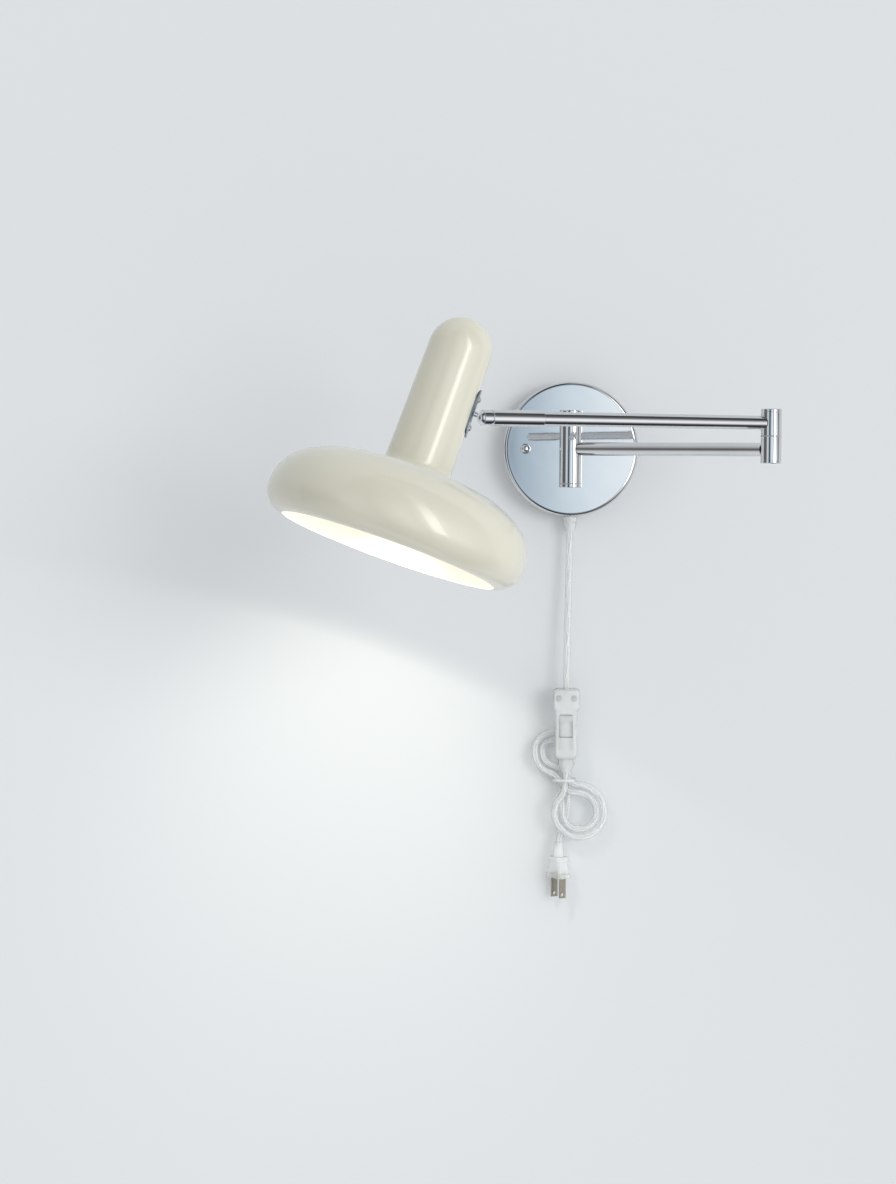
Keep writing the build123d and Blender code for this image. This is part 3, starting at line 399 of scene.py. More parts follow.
@dataclass(frozen=True)
class ClearVinyl(Finish):
    """Clear plastic: see-through, a little milky, with flow marks and painted shade on its edges.
    """

    clearness: float = 0.4
    centre: float = 0.5
    edge: float = 0.85
    index: float = 1.49
    flow_mm: float = 6.0

    def shader(self, tree: Tree, place: Port) -> Node:
        """Clear plastic with long soft flow marks and painted grey shade on its rounded edges.

        Args:
            tree: The material's node tree.
            place: The piece's Object coordinates.

        Returns:
            The Principled node.
        """
        flow = add_node(tree, "ShaderNodeTexNoise",
                        {"Vector": place, "Scale": 1000.0 / self.flow_mm, "Detail": 1.0})
        rough = add_node(tree, "ShaderNodeMapRange",
                         {"Value": flow, "To Min": self.roughness - 0.03,
                          "To Max": self.roughness + 0.06})
        # Painted shade: the colour turns grey where the surface faces away, as a clear tube's
        # edges look dark; the same mask makes those edges less see-through
        turned_off = add_node(tree, "ShaderNodeLayerWeight", {"Blend": 0.5})
        rim = add_node(tree, "ShaderNodeMapRange",
                       {"Value": turned_off.outputs["Facing"], "From Min": 0.35, "From Max": 0.9},
                       interpolation_type="SMOOTHSTEP")
        depth = add_node(tree, "ShaderNodeMapRange",
                         {"Value": rim, "To Min": self.centre,
                          "To Max": self.edge})
        tint = add_node(tree, "ShaderNodeMix",
                        {0: rim, 6: linear(self.tone),
                         7: linear(Tone.CLEAR_EDGE)}, data_type="RGBA")
        relief = add_node(tree, "ShaderNodeBump",
                          {"Height": flow, "Strength": 0.2, "Distance": 0.1 * MM})
        return add_node(tree, "ShaderNodeBsdfPrincipled",
                        {"Base Color": tint.outputs[2], "Roughness": rough,
                         "IOR": self.index, "Transmission Weight": self.clearness,
                         "Alpha": depth, "Normal": relief})


# Mirror plate of the wall plate and the joints: shows the room sharply
CHROME = PolishedChrome("chrome_plate_polished", Tone.CHROME, 0.03)
# Drawn tube under the same plate: a little hazier, so its highlights are softer
CHROME_TUBE = PolishedChrome("chrome_plate_on_drawn_tube", Tone.CHROME, 0.05, 0.5, 0.03)
# Passivated zinc on the strap, nuts and screws: cool grey and satin
ZINC = PlatedSteel("zinc_plate_passivated", Tone.ZINC, 0.34)
# Nickel on brass, handled and rubbed: the warm grey plug blades
BLADE = PlatedSteel("nickel_plate_on_brass", Tone.BLADE, 0.36, Tone.BLADE_DARK, 1.5)
# Rolled and chromed strip of the saddle, duller than the tubes, its dark tone partly painted shade
# for the plate seen edge on
STRIP = PlatedSteel("chrome_plate_on_rolled_strip", Tone.STRIP, 0.22, Tone.ZINC_DARK, 3.0)
# Rolled brass of the contacts and the terminal screws
BRASS = PlatedSteel("rolled_brass", Tone.BRASS, 0.3, Tone.BLADE, 2.0)
# Rolled aluminium of the lamp's screw cap
ALUMINIUM = PlatedSteel("rolled_aluminium", Tone.ALUMINIUM, 0.3, Tone.ZINC, 2.0)
# Cream stoved gloss outside the shade: sharp highlights on an even warm grey cream
CREAM_PAINT = GlossPaint("cream_stoved_gloss_paint", Tone.CREAM, 0.3)
# White satin reflector coat inside the shade, so the lamp lights it evenly
WHITE_PAINT = GlossPaint("white_reflector_paint", Tone.REFLECTOR, 0.45, Tone.OPAL, 0.0)
# Blown opal glass of the globe
OPAL = OpalGlass("opal_blown_glass", Tone.OPAL, 0.12)
# Heat resisting moulded thermoplastic of the lampholder
HOLDER = MouldedPlastic("moulded_thermoplastic_white", Tone.HOLDER, 0.4)
# Nylon of bushes, washer and ball seat: waxy and even, in a grey darker than its own as painted
# shade in the seams
NYLON = MouldedPlastic("moulded_nylon_grey", Tone.NYLON, 0.42, 0.6)
# Insulation of the two inner wires
WIRE = MouldedPlastic("extruded_wire_sleeve", Tone.WIRE, 0.45, 1.2, 0.1)
# Clear extruded sheath of the cord: glossy, clear in the middle, with painted grey shade along its
# edges
CORD_SHEATH = ClearVinyl("clear_extruded_vinyl", Tone.CLEAR, 0.06, 0.2, 0.3, 0.85, 1.4)
# Clear moulded switch, gland, tie and plug: a little milkier than the cord, with the same painted
# edge shade
CLEAR_MOULDED = ClearVinyl("clear_moulded_polycarbonate", Tone.CLEAR, 0.12, 0.12, 0.42, 0.8, 1.5)
# Tinned strands in their own thin clear insulation: two pale lines that cross in a long lay
CORE = MouldedPlastic("insulated_tinned_strand", Tone.CORE, 0.3, 0.9, 0.3)


def place_at(origin: Sequence[float], along: Sequence[float], across: Sequence[float]) -> Matrix:
    """A frame in metres for sizes in millimetres.

    Args:
        origin: The frame's origin, in millimetres.
        along: Where its +Z points.
        across: Where its +X points, as near as it can.

    Returns:
        The matrix from the frame's millimetres to the row frame's metres.
    """
    z = Vector(along).normalized()
    x = (Vector(across) - z * Vector(across).dot(z)).normalized()
    y = z.cross(x)
    turned = Matrix((x, y, z)).transposed().to_4x4()
    return Matrix.Scale(MM, 4) @ Matrix.Translation(Vector(origin)) @ turned


def arc(start: tuple[float, float], end: tuple[float, float], way: tuple[float, float],
        steps: int) -> Outline:
    """Points of the arc that leaves start along way and reaches end.

    Args:
        start: Where the arc starts, as (radius, height).
        end: Where it ends.
        way: Its direction at the start.
        steps: How many chords it is drawn with.

    Returns:
        The points after start, the last of them end.
    """
    p, q, t = Vector(start), Vector(end), Vector(way).normalized()
    side = Vector((-t.y, t.x))
    chord = q - p
    radius = chord.length_squared / (2 * chord.dot(side))
    centre = p + side * radius
    begin = p - centre
    sweep = 2 * math.atan2(chord.dot(side), chord.dot(t))
    points = []
    for k in range(1, steps + 1):
        angle = sweep * k / steps
        c, s = math.cos(angle), math.sin(angle)
        points.append((centre.x + begin.x * c - begin.y * s, centre.y + begin.x * s + begin.y * c))
    return points


def eased(corners: Sequence[tuple[float, float, float]], steps: int = 4) -> Outline:
    """An outline whose corners are rounded.

    Args:
        corners: Each corner as (radius, height, size of its rounding).
        steps: How many chords each rounding is drawn with.

    Returns:
        The rounded outline's points.
    """
    points: Outline = []
    for k, (x, y, size) in enumerate(corners):
        here = Vector((x, y))
        if size <= 0:
            points.append((x, y))
            continue
        before = Vector(corners[k - 1][:2]) - here
        after = Vector(corners[(k + 1) % len(corners)][:2]) - here
        reach = min(size, before.length * 0.49, after.length * 0.49)
        first, last = here + before.normalized() * reach, here + after.normalized() * reach
        for j in range(steps + 1):
            share = j / steps
            bend = first.lerp(here, share).lerp(here.lerp(last, share), share)
            points.append((bend.x, bend.y))
    return points


def show(name: str, bm: bmesh.types.BMesh, materials: Sequence[bpy.types.Material],
         crease: float = CREASE) -> Piece:
    """Makes a smooth shaded piece of a mesh.

    Args:
        name: The piece's name.
        bm: Its mesh in metres, which is used up.
        materials: Its material slots.
        crease: Edges that turn by more degrees than this stay sharp.

    Returns:
        The new object at the origin.
    """
    mesh = bpy.data.meshes.new(name)
    bm.to_mesh(mesh)
    bm.free()
    for material in materials:
        mesh.materials.append(material)
    mesh.polygons.foreach_set("use_smooth", [True] * len(mesh.polygons))
    mesh.set_sharp_from_angle(angle=math.radians(crease))
    return put(name, mesh)


def spin(bm: bmesh.types.BMesh, outline: Outline, place: Matrix, segments: int = 96,
         slots: Sequence[int] | None = None) -> None:
    """Turns a closed outline about the frame's +Z, its faces outwards.

    Args:
        bm: The mesh to add to.
        outline: Points as (radius, height), anticlockwise with the radius to the right. Where
            the first and last lie on the axis, the outline closes along it.
        place: The frame of the outline.
        segments: How many facets go round.
        slots: A material slot for each side of the outline.
    """
    on_axis = outline[0][0] < TINY and outline[-1][0] < TINY
    rings = []
    for radius, height in outline:
        if radius < TINY:
            rings.append([bm.verts.new(place @ Vector((0, 0, height)))] * segments)
            continue
        ring = []
        for j in range(segments):
            angle = 2 * math.pi * j / segments
            ring.append(bm.verts.new(place @ Vector(
                (radius * math.cos(angle), radius * math.sin(angle), height))))
        rings.append(ring)
    count = len(rings) - 1 if on_axis else len(rings)
    for k in range(count):
        low, high = rings[k], rings[(k + 1) % len(rings)]
        for j in range(segments):
            n = (j + 1) % segments
            corners = []
            for vert in (low[j], low[n], high[n], high[j]):
                if vert not in corners:
                    corners.append(vert)
            if len(corners) > 2:
                face = bm.faces.new(corners)
                face.material_index = slots[k] if slots else 0


def turned(name: str, outline: Outline, place: Matrix, finish: Finish,
           segments: int = 96) -> Piece:
    """A turned piece in one finish.

    Args:
        name: The piece's name.
        outline: Its outline, as spin takes it.
        place: The outline's frame.
        finish: The piece's finish.
        segments: How many facets go round.

    Returns:
        The new object.
    """
    bm = bmesh.new()
    spin(bm, outline, place, segments)
    return show(name, bm, [finish.material()])


def settle(piece: Piece, body: Body, slot: str, *nodes: str) -> Piece:
    """Puts a piece on its body and hides what it stands for.

    Args:
        piece: The finished piece.
        body: The body it rides on.
        slot: The record's material slot; not used.
        *nodes: The CAD nodes that it replaces.

    Returns:
        The piece.
    """
    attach(piece, body.value)
    if nodes:
        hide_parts(*nodes)
    count = len(piece.data.polygons) if piece.type == "MESH" else 0
    LOG.info("piece %s on %s: %d faces, stands for %s", piece.name, body.value, count,
             ", ".join(nodes) or "itself")
    return piece


def recast(node: str, name: str, finish: Finish, body: Body, slot: str,
           crease: float = CAD_CREASE) -> Piece:
    """Settles a smooth piece, made of a merged copy of a CAD node's mesh, in the node's place.

    Args:
        node: The CAD node.
        name: The new piece's name.
        finish: Its finish.
        body: The body it rides on.
        slot: The record's material slot.
        crease: Edges that turn by more degrees than this stay sharp.

    Returns:
        The new piece.
    """
    bm = bmesh.new()
    bm.from_mesh(frame["nodes"][node].data)
    bmesh.ops.remove_doubles(bm, verts=bm.verts, dist=MERGE)
    bmesh.ops.dissolve_limit(bm, angle_limit=math.radians(FLAT), verts=bm.verts, edges=bm.edges)
    return settle(show(name, bm, [finish.material()], crease), body, slot, node)


def redress(finish: Finish, *nodes: str) -> None:
    """Gives CAD nodes that stay as they are a finish, in their own material slots.

    Args:
        finish: The finish.
        *nodes: The CAD nodes.
    """
    for node in nodes:
        piece = frame["nodes"][node]
        for place in piece.material_slots:
            place.material = finish.material()
        if not piece.material_slots:
            piece.data.materials.append(finish.material())
        LOG.info("node %s keeps its shape in %s", node, finish.name)


def plain(piece: Piece) -> Piece:
    """Turns an object's modifiers to plain mesh and removes them.

    Args:
        piece: The object with live modifiers.

    Returns:
        The same object with the result as its mesh.
    """
    graph = bpy.context.evaluated_depsgraph_get()
    mesh = bpy.data.meshes.new_from_object(piece.evaluated_get(graph), depsgraph=graph)
    piece.modifiers.clear()
    mesh.name = piece.name
    piece.data = mesh
    return piece


class Socket(Enum):
    """Kinds of input that the node trees take."""

    LENGTH = "NodeSocketFloat"
    COUNT = "NodeSocketInt"
    OBJECT = "NodeSocketObject"
    FINISH = "NodeSocketMaterial"


@dataclass
class Weave:
    """A Geometry Nodes tree in the making, with its named inputs."""

    name: str
    inputs: dict[str, tuple[Socket, Any]]
    tree: Tree = field(init=False)
    entry: Node = field(init=False)

    def __post_init__(self) -> None:
        """Starts the tree with a geometry input and the named ones."""
        self.tree = bpy.data.node_groups.new(self.name, "GeometryNodeTree")
        face = self.tree.interface
        face.new_socket("Geometry", in_out="INPUT", socket_type="NodeSocketGeometry")
        for key, (kind, _) in self.inputs.items():
            face.new_socket(key, in_out="INPUT", socket_type=kind.value)
        face.new_socket("Geometry", in_out="OUTPUT", socket_type="NodeSocketGeometry")
        self.entry = add_node(self.tree, "NodeGroupInput")

    def take(self, key: str = "Geometry") -> Port:
        """The named input, to link from."""
        return self.entry.outputs[key]

    def node(self, kind: str, inputs: dict[Any, Any] | None = None, **settings: Any) -> Node:
        """Adds a node to the tree."""
        return add_node(self.tree, kind, inputs, **settings)

    def finish_on(self, start: Piece, made: Port) -> Piece:
        """Ends the tree, runs it on an object and keeps the result as plain mesh.

        Args:
            start: The object the tree starts from.
            made: The geometry to realize and set the material of.

        Returns:
            The object with its new mesh.
        """
        real = self.node("GeometryNodeRealizeInstances", {"Geometry": made})
        dressed = self.node("GeometryNodeSetMaterial",
                            {"Geometry": real, "Material": self.take("Finish")})
        self.node("NodeGroupOutput", {"Geometry": dressed})
        modifier = start.modifiers.new(self.name, "NODES")
        modifier.node_group = self.tree
        for item in self.tree.interface.items_tree:
            if item.in_out == "INPUT" and item.name in self.inputs:
                modifier[item.identifier] = self.inputs[item.name][1]
        return plain(start)


def line_object(name: str, points: Sequence[Vector]) -> Piece:
    """A mesh of points joined in a row, for a node tree to start from.

    Args:
        name: The object's name.
        points: The points in metres.

    Returns:
        The new object.
    """
    mesh = bpy.data.meshes.new(name)
    mesh.from_pydata([tuple(p) for p in points], [(k, k + 1) for k in range(len(points) - 1)], [])
    return put(name, mesh)


def drawn_tube(name: str, start: Vector, end: Vector, radius: float, wall: float,
               finish: Finish) -> Piece:
    """A drawn tube between two places: a ring swept along a line, with its bore.

    Args:
        name: The piece's name.
        start: Its first end, in millimetres.
        end: Its other end.
        radius: Its outer radius.
        wall: Its wall.
        finish: Its finish.

    Returns:
        The tube as plain mesh.
    """
    weave = Weave("drawn_tube", {
        "Radius": (Socket.LENGTH, radius * MM), "Wall": (Socket.LENGTH, wall * MM),
        "Facets": (Socket.COUNT, 72), "Finish": (Socket.FINISH, finish.material())})
    path = weave.node("GeometryNodeMeshToCurve", {"Mesh": weave.take()})
    bore = weave.node("ShaderNodeMath", {0: weave.take("Radius"), 1: weave.take("Wall")},
                      operation="SUBTRACT")
    walls = []
    for size in (weave.take("Radius"), bore.outputs["Value"]):
        ring = weave.node("GeometryNodeCurvePrimitiveCircle",
                          {"Resolution": weave.take("Facets"), "Radius": size})
        walls.append(weave.node("GeometryNodeCurveToMesh", {
            "Curve": path, "Profile Curve": ring}))
    inside = weave.node("GeometryNodeFlipFaces", {"Mesh": walls[1].outputs["Mesh"]})
    both = weave.node("GeometryNodeJoinGeometry")
    for skin in (walls[0].outputs["Mesh"], inside.outputs["Mesh"]):
        weave.tree.links.new(skin, both.inputs["Geometry"])
    smooth = weave.node("GeometryNodeSetShadeSmooth", {"Geometry": both})
    steps = [start.lerp(end, k / 8) * MM for k in range(9)]
    return weave.finish_on(line_object(name, steps), smooth.outputs["Geometry"])


def repeated(name: str, detail: Piece, places: Sequence[Vector], finish: Finish) -> Piece:
    """One detail set at several places, all the same way up.

    Args:
        name: The piece's name.
        detail: The detail about its own origin, in metres, which is used up.
        places: The places, in millimetres.
        finish: The finish.

    Returns:
        The details as one plain mesh.
    """
    weave = Weave("repeated_detail", {
        "Detail": (Socket.OBJECT, detail), "Finish": (Socket.FINISH, finish.material())})
    dots = weave.node("GeometryNodeMeshToPoints", {"Mesh": weave.take()})
    shape = weave.node("GeometryNodeObjectInfo", {"Object": weave.take("Detail")})
    copies = weave.node("GeometryNodeInstanceOnPoints", {
        "Points": dots, "Instance": shape.outputs["Geometry"]})
    start = line_object(name, [p * MM for p in places])
    made = weave.finish_on(start, copies.outputs["Instances"])
    bpy.data.objects.remove(detail)
    return made


@dataclass
class WallPlate:
    """The domed wall plate, its ball nuts and the hardware behind it."""

    radius: float = 60.0
    depth: float = 22.0
    rise: float = 2.6
    shoulder: float = 4.0
    wall: float = 1.2
    stud_offset: float = 40.0
    nut_foot: float = 4.6
    nut_ball: float = 4.1
    nut_centre: float = 6.9
    nut_height: float = 11.0
    out: Matrix = field(default_factory=lambda: place_at((0, 0, 0), (0, -1, 0), (1, 0, 0)))

    def face(self, radius: float, inset: float = 0.0) -> float:
        """How far the domed face stands out from the wall at a radius."""
        flat = self.radius - self.shoulder
        dome = flat ** 2 / (2 * self.rise) + self.rise / 2
        return self.depth + self.rise - dome + math.sqrt((dome - inset) ** 2 - radius ** 2)

    def skin(self, inset: float, base: float) -> Outline:
        """One wall of the plate, from its open back to its centre.

        Args:
            inset: How far it lies inside the outer wall.
            base: The height of its open edge.

        Returns:
            The points from the edge at the wall to the centre.
        """
        flat = self.radius - self.shoulder
        edge = self.face(flat, inset)
        rim = self.radius - inset
        points = [(rim, base), (rim, (base + edge) / 2), (rim, edge - self.shoulder + inset)]
        points += arc(points[-1], (flat, edge), (0, 1), 10)
        steps = 14
        points += [(flat * (1 - k / steps), self.face(flat * (1 - k / steps), inset))
                   for k in range(1, steps + 1)]
        return points

    def build_plate(self) -> None:
        """Turns the plate with a rolled back edge."""
        base, hem, rim = 0.5, 0.3, self.radius
        outer, inner = self.skin(0.0, base), self.skin(self.wall, base)
        edge = [(rim - self.wall, 0.4), (rim - self.wall + hem, 0.0), (rim - hem, 0.0)]
        outline = edge + outer[:-1] + [(0.0, outer[-1][1])]
        bm = bmesh.new()
        spin(bm, [(0.0, inner[-1][1])] + inner[-2::-1] + outline, self.out, 160)
        plate = show("canopy_plate_spun", bm, [CHROME.material()], 24.0)
        settle(plate, Body.WALL, "chrome", "canopy_plate")

    def build_nuts(self) -> None:
        """Sets one turned ball nut on each stud."""
        seat = self.face(self.stud_offset + self.nut_foot) - 0.4
        face = self.face(self.stud_offset)
        turns = [math.radians(-48 + 9.2 * k) for k in range(14)]
        foot = eased([(self.nut_foot, seat, 0.0), (self.nut_foot, face + 1.5, 0.6),
                      (2.8, face + 1.7, 0.0), (2.5, face + 2.4, 0.3)])
        ball = [(self.nut_ball * math.cos(a), face + self.nut_centre + self.nut_ball * math.sin(a))
                for a in turns]
        outline = [(0.0, seat), (2.1, seat)] + foot + ball + [(0.0, face + self.nut_height)]
        detail = turned("ball_nut_detail", outline, self.out, CHROME, 48)
        places = [Vector((side * self.stud_offset, 0, 0)) for side in (-1, 1)]
        settle(repeated("finial_ball_nuts", detail, places, CHROME), Body.WALL, "chrome",
               "finial_nuts")

    def build(self) -> None:
        """Builds the plate, its nuts and the finishes behind them."""
        self.build_plate()
        self.build_nuts()
        redress(ZINC, "mounting_bracket", "mounting_studs", "stub_washer", "stub_locknut")
        redress(HOLDER, "terminal_block")


@dataclass
class PivotPost:
    """The wall yoke with the barrel that turns in it."""

    axis_out: float = 45.0
    radius: float = 10.0
    bore: float = 7.8
    half: float = 30.5
    flange: float = 0.5
    bush_depth: float = 7.0
    screw_bore: float = 2.55
    collar_bore: float = 4.95
    collar_radius: float = 7.0
    collar_span: tuple[float, float] = (24.63, 31.35)

    def axis(self, up: int) -> Matrix:
        """The post's axis from its middle, upwards for 1 and downwards for -1."""
        return place_at((0, -self.axis_out, 0), (0, 0, up), (1, 0, 0))

    def build(self) -> None:
        """Builds the yoke, barrel, bushes and screws."""
        recast("pivot_yoke", "pivot_yoke_forged", CHROME, Body.WALL, "chrome")
        hole, rim, (back, front) = self.collar_bore, self.collar_radius, self.collar_span
        collar = turned("stub_collar_turned", eased([
            (hole, back, 0.2), (rim, back, 0.4), (rim, front, 0.4), (hole, front, 0.2)]),
            place_at((0, 0, 0), (0, -1, 0), (1, 0, 0)), CHROME, 64)
        settle(collar, Body.WALL, "chrome", "stub_collar")
        recast("pivot_screws", "pivot_screws_hex", CHROME, Body.WALL, "chrome")
        hole, rim, top = self.bore, self.radius, self.half
        barrel = turned("post_barrel_drawn", eased([
            (hole, -top, 0.2), (rim, -top, 0.35), (rim, 0.0, 0.0), (rim, top, 0.35),
            (hole, top, 0.2)]), self.axis(1), CHROME_TUBE)
        settle(barrel, Body.LOWER, "chrome", "post_barrel")
        bore, fit = self.screw_bore, hole - 0.05
        foot, head = top - self.bush_depth, top + self.flange
        bushes = bmesh.new()
        for up in (1, -1):
            spin(bushes, eased([(bore, foot, 0.2), (fit, foot, 0.3), (fit, top, 0.0),
                                (rim, top + 0.02, 0.0), (rim, head, 0.2), (bore, head, 0.1)]),
                 self.axis(up), 64)
        settle(show("post_bushes_flanged", bushes, [NYLON.material()]), Body.LOWER, "nylon",
               "post_bushings")


@dataclass
class SwingArms:
    """Both arm tubes and the elbow where they cross, one above the other."""

    post: Vector = field(default_factory=lambda: Vector((0, -45.0, 0)))
    elbow: Vector = field(default_factory=lambda: Vector((167.734, -153.928, 0)))
    ball: Vector = field(default_factory=lambda: Vector((-70.162, -285.796, 22.5)))
    tube: float = 5.85
    wall: float = 1.2
    barrel: float = 8.75
    bore: float = 4.9
    post_gap: float = 9.2
    elbow_gap: float = 7.8
    ball_gap: float = 24.1
    cap_depth: float = 2.4
    bevel: float = 0.62
    cap_faces: tuple[float, float] = (-11.75, 34.25)
    lower_span: tuple[float, float] = (-9.35, 10.85)
    washer_span: tuple[float, float] = (10.85, 11.65)
    upper_span: tuple[float, float] = (11.75, 31.75)

    def build_tubes(self) -> None:
        """Draws the two tubes from barrel to barrel and from the elbow to the sleeve."""
        raised = self.elbow + Vector((0, 0, self.ball.z))
        for name, start, near, end, far, body, node in (
                ("lower_arm_drawn", self.post, self.post_gap, self.elbow, self.elbow_gap,
                 Body.LOWER, "lower_arm_tube"),
                ("upper_arm_drawn", raised, self.elbow_gap, self.ball, self.ball_gap,
                 Body.UPPER, "upper_arm_tube")):
            way = (end - start).normalized()
            tube = drawn_tube(name, start + way * near, end - way * far, self.tube, self.wall,
                              CHROME_TUBE)
            settle(tube, body, "chrome", node)

    def ring(self, name: str, span: tuple[float, float], ease: float, finish: Finish) -> Piece:
        """One of the elbow's turned rings.

        Args:
            name: Its name.
            span: Its lower and upper heights.
            ease: How far its outer edges are rounded.
            finish: Its finish.

        Returns:
            The new piece.
        """
        bore, rim, (low, high) = self.bore, self.barrel, span
        at = place_at((self.elbow.x, self.elbow.y, 0), (0, 0, 1), (1, 0, 0))
        return turned(name, eased([
            (bore, low, 0.0), (rim, low, ease), (rim, (low + high) / 2, 0.0), (rim, high, ease),
            (bore, high, 0.0)]), at, finish)

    def cap(self, name: str, face: float, up: int) -> Piece:
        """A screw cap with a bevelled edge and a flat centre.

        Args:
            name: Its name.
            face: The height of its outer face.
            up: 1 for the top cap and -1 for the bottom one.

        Returns:
            The new piece.
        """
        bore, rim, deep = self.bore, self.barrel, -self.cap_depth
        at = place_at((self.elbow.x, self.elbow.y, face), (0, 0, up), (1, 0, 0))
        return turned(name, [(0.0, -1.0), (bore, -1.0), (bore, deep)] + eased([
            (rim, deep, 0.1), (rim, -self.bevel, 0.15), (rim - self.bevel, 0.0, 0.15),
            (rim - 1.6, 0.0, 0.0)]) + [(rim * 0.5, 0.04), (0.0, 0.06)], at, CHROME)

    def build_elbow(self) -> None:
        """Stacks the elbow's caps, barrels and washer on its pin."""
        low, high = self.cap_faces
        for piece, body, slot, node in (
                (self.cap("elbow_cap_bottom", low, -1), Body.LOWER, "chrome", "elbow_bottom_cap"),
                (self.ring("elbow_barrel_lower", self.lower_span, 0.12, CHROME_TUBE), Body.LOWER,
                 "chrome", "elbow_lower_barrel"),
                (self.ring("elbow_washer_thin", self.washer_span, 0.25, NYLON), Body.LOWER,
                 "nylon", "elbow_washer"),
                (self.ring("elbow_barrel_upper", self.upper_span, 0.12, CHROME_TUBE), Body.UPPER,
                 "chrome", "elbow_upper_barrel"),
                (self.cap("elbow_cap_top", high, 1), Body.LOWER, "chrome", "elbow_top_cap")):
            settle(piece, body, slot, node)

    def build(self) -> None:
        """Builds tubes and elbow and dresses what runs inside them."""
        self.build_tubes()
        self.build_elbow()
        redress(WIRE, "lower_arm_wires", "upper_arm_wires")
        redress(ZINC, "elbow_pin", "arm_end_plug")


@dataclass
class SwivelJoint:
    """The sleeve on the arm's end, the slotted collar and the ball."""

    ball: Vector = field(default_factory=lambda: Vector((-70.162, -285.796, 22.5)))
    stem: Vector = field(default_factory=lambda: Vector((0.94552, 0.0, -0.32557)))
    radius: float = 5.85
    bore: float = 1.9
    crease: float = 28.0
    steps: int = 24

    def build(self) -> None:
        """Builds the joint's pieces and dresses the seat and nut."""
        for node, name, finish in (("swivel_sleeve", "swivel_sleeve_turned", CHROME_TUBE),
                                   ("ball_collar", "ball_collar_slotted", CHROME)):
            recast(node, name, finish, Body.SLEEVE, "chrome", self.crease)
        turns = [math.pi * k / self.steps for k in range(2, self.steps)]
        ball = [(self.radius * math.sin(a), -self.radius * math.cos(a)) for a in turns]
        outline = [(0.0, 4.0), (self.bore, 4.0), (self.bore, -2.0)]
        outline += [p for p in ball if p[0] > self.bore + 0.1] + [(0.0, self.radius)]
        at = place_at(self.ball, self.stem, (0, 0, 1))
        settle(turned("pivot_ball_polished", outline, at, CHROME, 64), Body.BALL, "chrome",
               "pivot_ball")
        redress(NYLON, "ball_seat")
        redress(ZINC, "arm_end_nut")


@dataclass
class Saddle:
    """The bent saddle plate on the shade's neck, with its stud, screws and nuts."""

    def build(self) -> None:
        """Casts and dresses the saddle's pieces."""
        for node, name, finish in (("saddle_plate", "saddle_plate_bent", STRIP),
                                   ("saddle_screws", "saddle_screws_crossed", CHROME),
                                   ("ball_stud", "ball_stud_turned", CHROME)):
            recast(node, name, finish, Body.HEAD, "chrome")
        redress(ZINC, "stud_nut", "saddle_nuts", "lampholder_bracket")


@dataclass
class MushroomShade:
    """The spun shade: neck, brim and inner reflector, which stand for the CAD's bowl and neck."""

    centre: Vector = field(default_factory=lambda: Vector((-145.246, -302.896, -83.674)))
    up: Vector = field(default_factory=lambda: Vector((0.32256, 0.13572, 0.93677)))
    side: Vector = field(default_factory=lambda: Vector((0.94552, 0.0, -0.32557)))
    rim: float = 90.0
    brim: tuple[float, float] = (107.5, 20.0)
    shoulder: tuple[float, float] = (88.0, 54.0)
    crown: tuple[float, float] = (44.0, 66.2)
    neck_foot: tuple[float, float] = (27.5, 66.2)
    neck_head: tuple[float, float] = (25.7, 171.3)
    fillet: float = 8.0
    wall: float = 1.0

    def place(self) -> Matrix:
        """The shade's frame: +Z up its axis from the rim's plane."""
        return place_at(self.centre, self.up, self.side)

    def outside(self) -> Outline:
        """The outer wall from the rim to the top of the neck.

        Returns:
            Points as (radius, height above the rim).
        """
        low = arc(self.brim, (self.rim, 0.0), (0, -1), 14)
        points = low[::-1] + [self.brim] + arc(self.brim, self.shoulder, (0, 1), 18)
        reach = self.brim[0] - self.shoulder[0]
        rise = self.shoulder[1] - self.brim[1]
        radius = (reach ** 2 + rise ** 2) / (2 * reach)
        tangent = (-rise, radius - reach)
        points += arc(self.shoulder, self.crown, tangent, 12)
        foot = Vector(self.neck_foot)
        head = Vector(self.neck_head)
        run = self.fillet * math.tan(math.radians(45.5))
        points += [(foot.x + run, foot.y)]
        points += arc(points[-1], tuple(foot + (head - foot).normalized() * run), (-1, 0), 10)
        points += [tuple(foot.lerp(head, 0.3)), tuple(foot.lerp(head, 0.7)), tuple(head)]
        points += arc(self.neck_head, (0.0, self.neck_head[1] + self.neck_head[0]), (0, 1), 18)
        return points

    def inside(self, outer: Outline) -> Outline:
        """The inner wall, one wall's thickness in from the outer one.

        Args:
            outer: The outer wall's points.

        Returns:
            As many points, from the rim to the top.
        """
        points = []
        for k, (x, y) in enumerate(outer):
            before, after = Vector(outer[max(k - 1, 0)]), Vector(outer[min(k + 1, len(outer) - 1)])
            way = (after - before).normalized()
            points.append((max(x - way.y * self.wall, 0.0), y + way.x * self.wall))
        points[-1] = (0.0, outer[-1][1] - self.wall)
        return points

    def build(self) -> None:
        """Turns the shell, cream outside and white inside, with a turned-in rim."""
        outer = self.outside()
        inner = self.inside(outer)
        inset = self.rim - self.wall
        lip = [(inset, 1.2), (inset, 0.25), (inset + 0.2, 0.0), (self.rim - 0.15, 0.0)]
        ring = inner[::-1] + lip + outer[1:-1] + [(0.0, outer[-1][1])]
        white = len(inner) + 2
        slots = [1] * white + [0] * (len(ring) - white)
        bm = bmesh.new()
        spin(bm, ring, self.place(), 192, slots)
        coats = [CREAM_PAINT.material(), WHITE_PAINT.material()]
        shade = show("shade_shell_spun", bm, coats, 50.0)
        settle(shade, Body.HEAD, "cream_paint", "shade_shell", "shade_neck")


